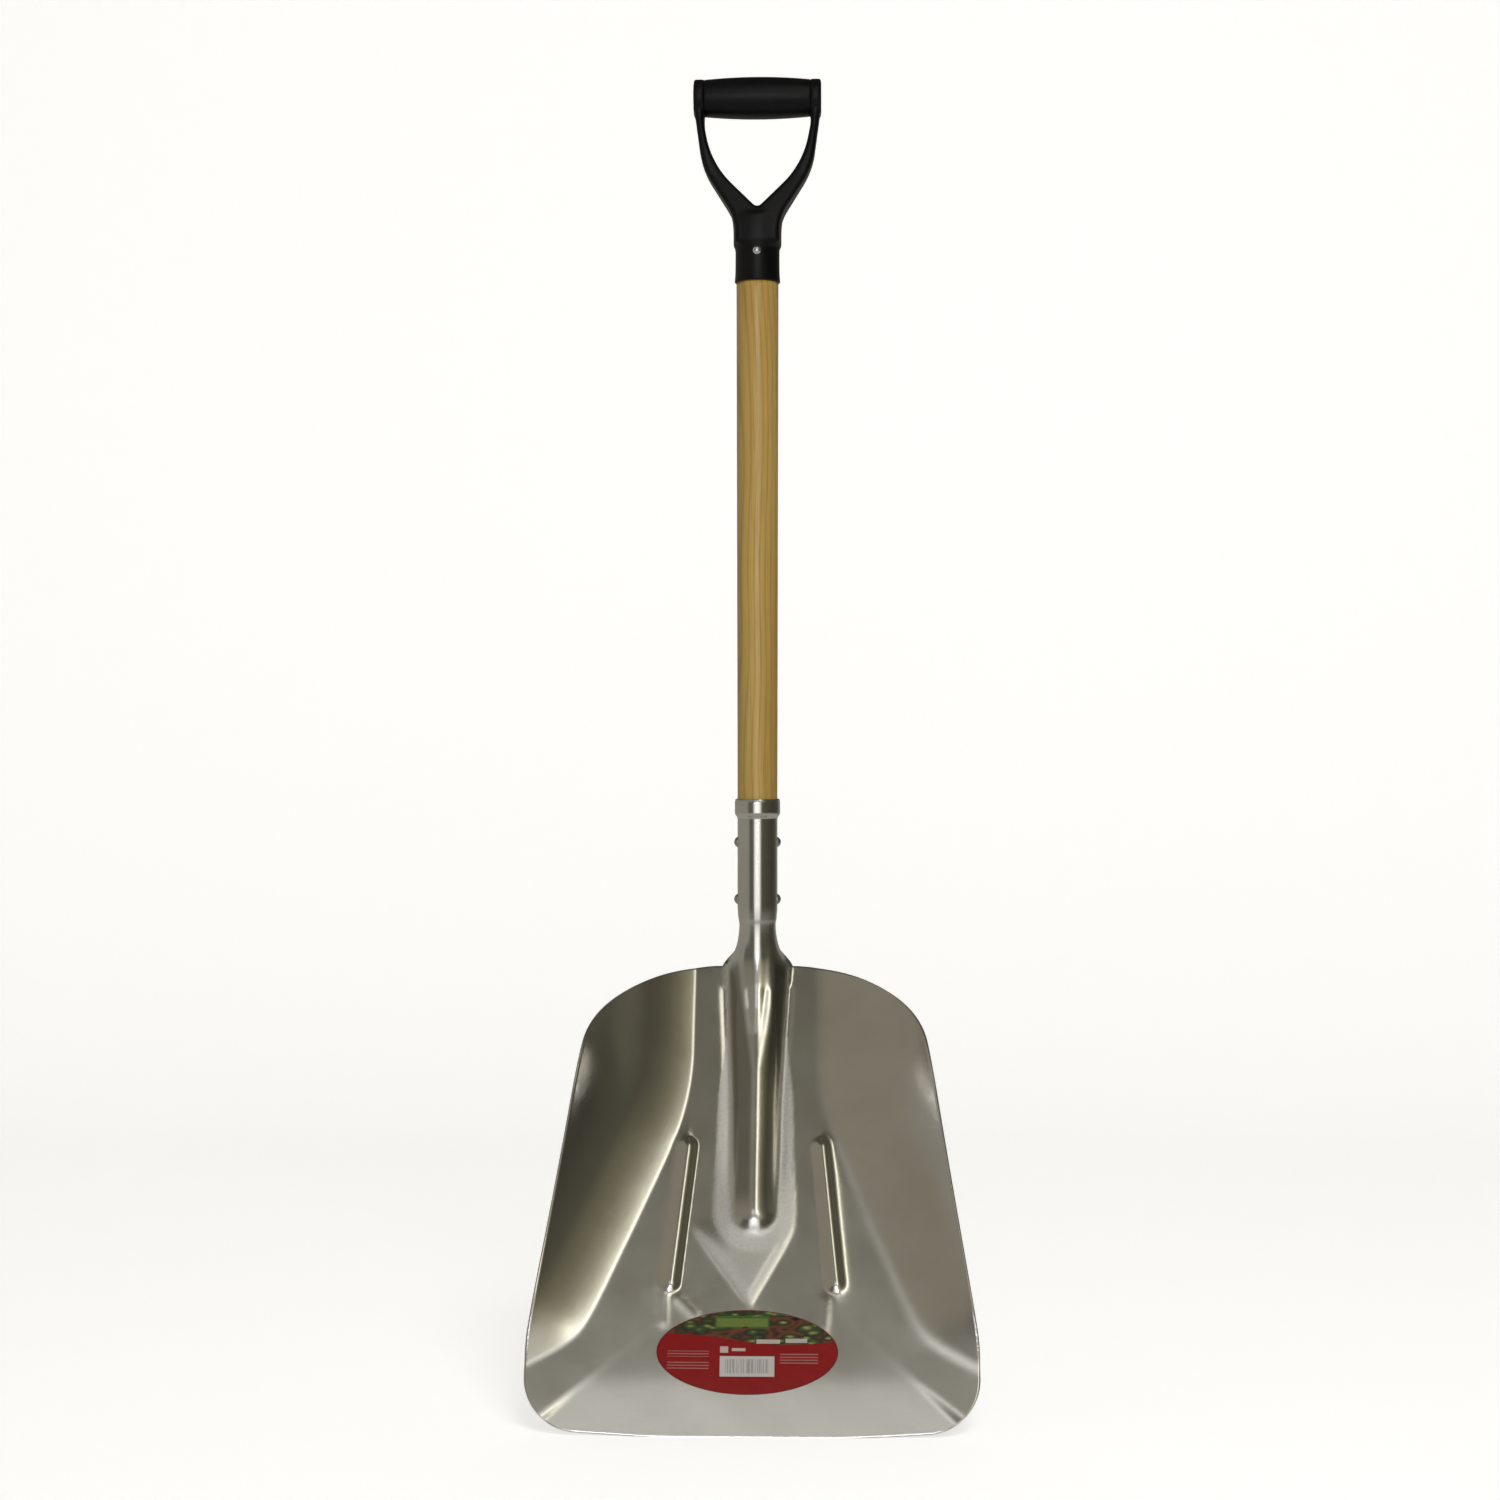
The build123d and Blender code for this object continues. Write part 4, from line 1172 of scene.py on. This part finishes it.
def studio_floor():
    """Pale floor that curves up into a backdrop."""
    curve = np.linspace(0, math.pi / 2, 24)[1:]
    profile = [(-FLOOR_HALF_WIDTH, 0.0), (FLOOR_BACK, 0.0)]
    profile += [(FLOOR_BACK + CURVE_RADIUS * math.sin(a), CURVE_RADIUS * (1 - math.cos(a))) for a in curve]
    profile.append((FLOOR_BACK + CURVE_RADIUS, BACKDROP_TOP))
    level = min(cad_bounds[0].z, 0.0)
    points, faces = [], []
    for y, z in profile:
        points += [(side * FLOOR_HALF_WIDTH, y, z + level) for side in (-1, 1)]
    for k in range(len(profile) - 1):
        faces.append([2 * k, 2 * k + 1, 2 * k + 3, 2 * k + 2])
    obj = mesh_object("studio_floor", np.array(points) / MM, faces)
    m = material("studio_white")
    seen = m.node("ShaderNodeLightPath").outputs["Is Camera Ray"]
    pale, glow = (0.8, 0.8, 0.8), (1, 1, 1)
    m.finish(Base_Color=pale, Roughness=0.9, Emission_Color=glow, Emission_Strength=m.times(seen, 0.62))
    obj.data.materials.append(m.owner)
    obj.visible_glossy = False


def studio_world():
    """Soft surroundings for reflections and light, while the camera itself sees plain white."""
    world = bpy.data.worlds.new("studio")
    bpy.context.scene.world = world
    m = Nodes(world)
    x, y, z = m.split(m.where("Generated"))
    azimuth = m.math("ARCTAN2", x, m.times(y, -1.0))
    turn = m.math("MULTIPLY_ADD", azimuth, 1 / (2 * math.pi), 0.5)

    def ring(stops):
        return m.ramp(turn, [((degrees + 180) / 360, colour) for degrees, colour in stops])

    def rise(start, end):
        span = dict(From_Min=start, From_Max=end, interpolation_type="SMOOTHSTEP")
        return m.node("ShaderNodeMapRange", Value=z, **span).outputs[0]

    colour = ring(LOW_RING)
    for start, end, stops in UPPER_RINGS:
        colour = m.mix(rise(start, end), colour, ring(stops))
    colour = m.mix(rise(0.79, 0.90), colour, OVERHEAD)
    colour = m.mix(rise(-0.35, -0.12), UNDERFOOT, colour)
    level = m.times(rise(0.11, 0.135), m.math("SUBTRACT", 1.0, rise(0.16, 0.175)))
    ahead = m.ramp(turn, [(0.480, 0.0), (0.491, 1.0), (0.509, 1.0), (0.520, 0.0)])
    colour = m.mix(m.times(level, ahead), colour, SPOT)
    seen = m.node("ShaderNodeLightPath").outputs["Is Camera Ray"]
    m.put(m.tree.nodes["Background"].inputs["Color"], m.mix(seen, colour, (1, 1, 1)))


def soft_light(name, at, target, size, power):
    """Large area lamp that lights without showing in reflections."""
    data = bpy.data.lights.new(name, "AREA")
    data.shape = "RECTANGLE"
    data.size, data.size_y = size
    data.energy = power
    obj = bpy.data.objects.new(name, data)
    obj.location = at
    obj.rotation_euler = (Vector(target) - Vector(at)).to_track_quat("-Z", "Y").to_euler()
    obj.visible_glossy = False
    bpy.context.scene.collection.objects.link(obj)


def studio_camera():
    """Level camera in front of the open face, a little to its right."""
    right = Vector((math.cos(CAMERA_TURN), math.sin(CAMERA_TURN), 0))
    forward = Vector((-math.sin(CAMERA_TURN), math.cos(CAMERA_TURN), 0))
    data = bpy.data.cameras.new("camera")
    data.lens, data.sensor_width = LENS_MM, SENSOR_MM
    data.clip_start, data.clip_end = 0.05, 50
    camera = bpy.data.objects.new("camera", data)
    axis = Vector((0, SHAFT_Y * MM, CAMERA_HEIGHT))
    camera.location = axis - right * AXIS_OFFSET - forward * CAMERA_DISTANCE
    camera.rotation_euler = (math.pi / 2, 0, CAMERA_TURN)
    bpy.context.scene.collection.objects.link(camera)
    bpy.context.scene.camera = camera


studio_floor()
studio_world()
soft_light("key", at=(0.6, -2.2, 2.6), target=(0, 0.15, 0.6), size=(1.4, 1.1), power=34)
studio_camera()
bpy.context.scene.view_settings.view_transform = "Standard"
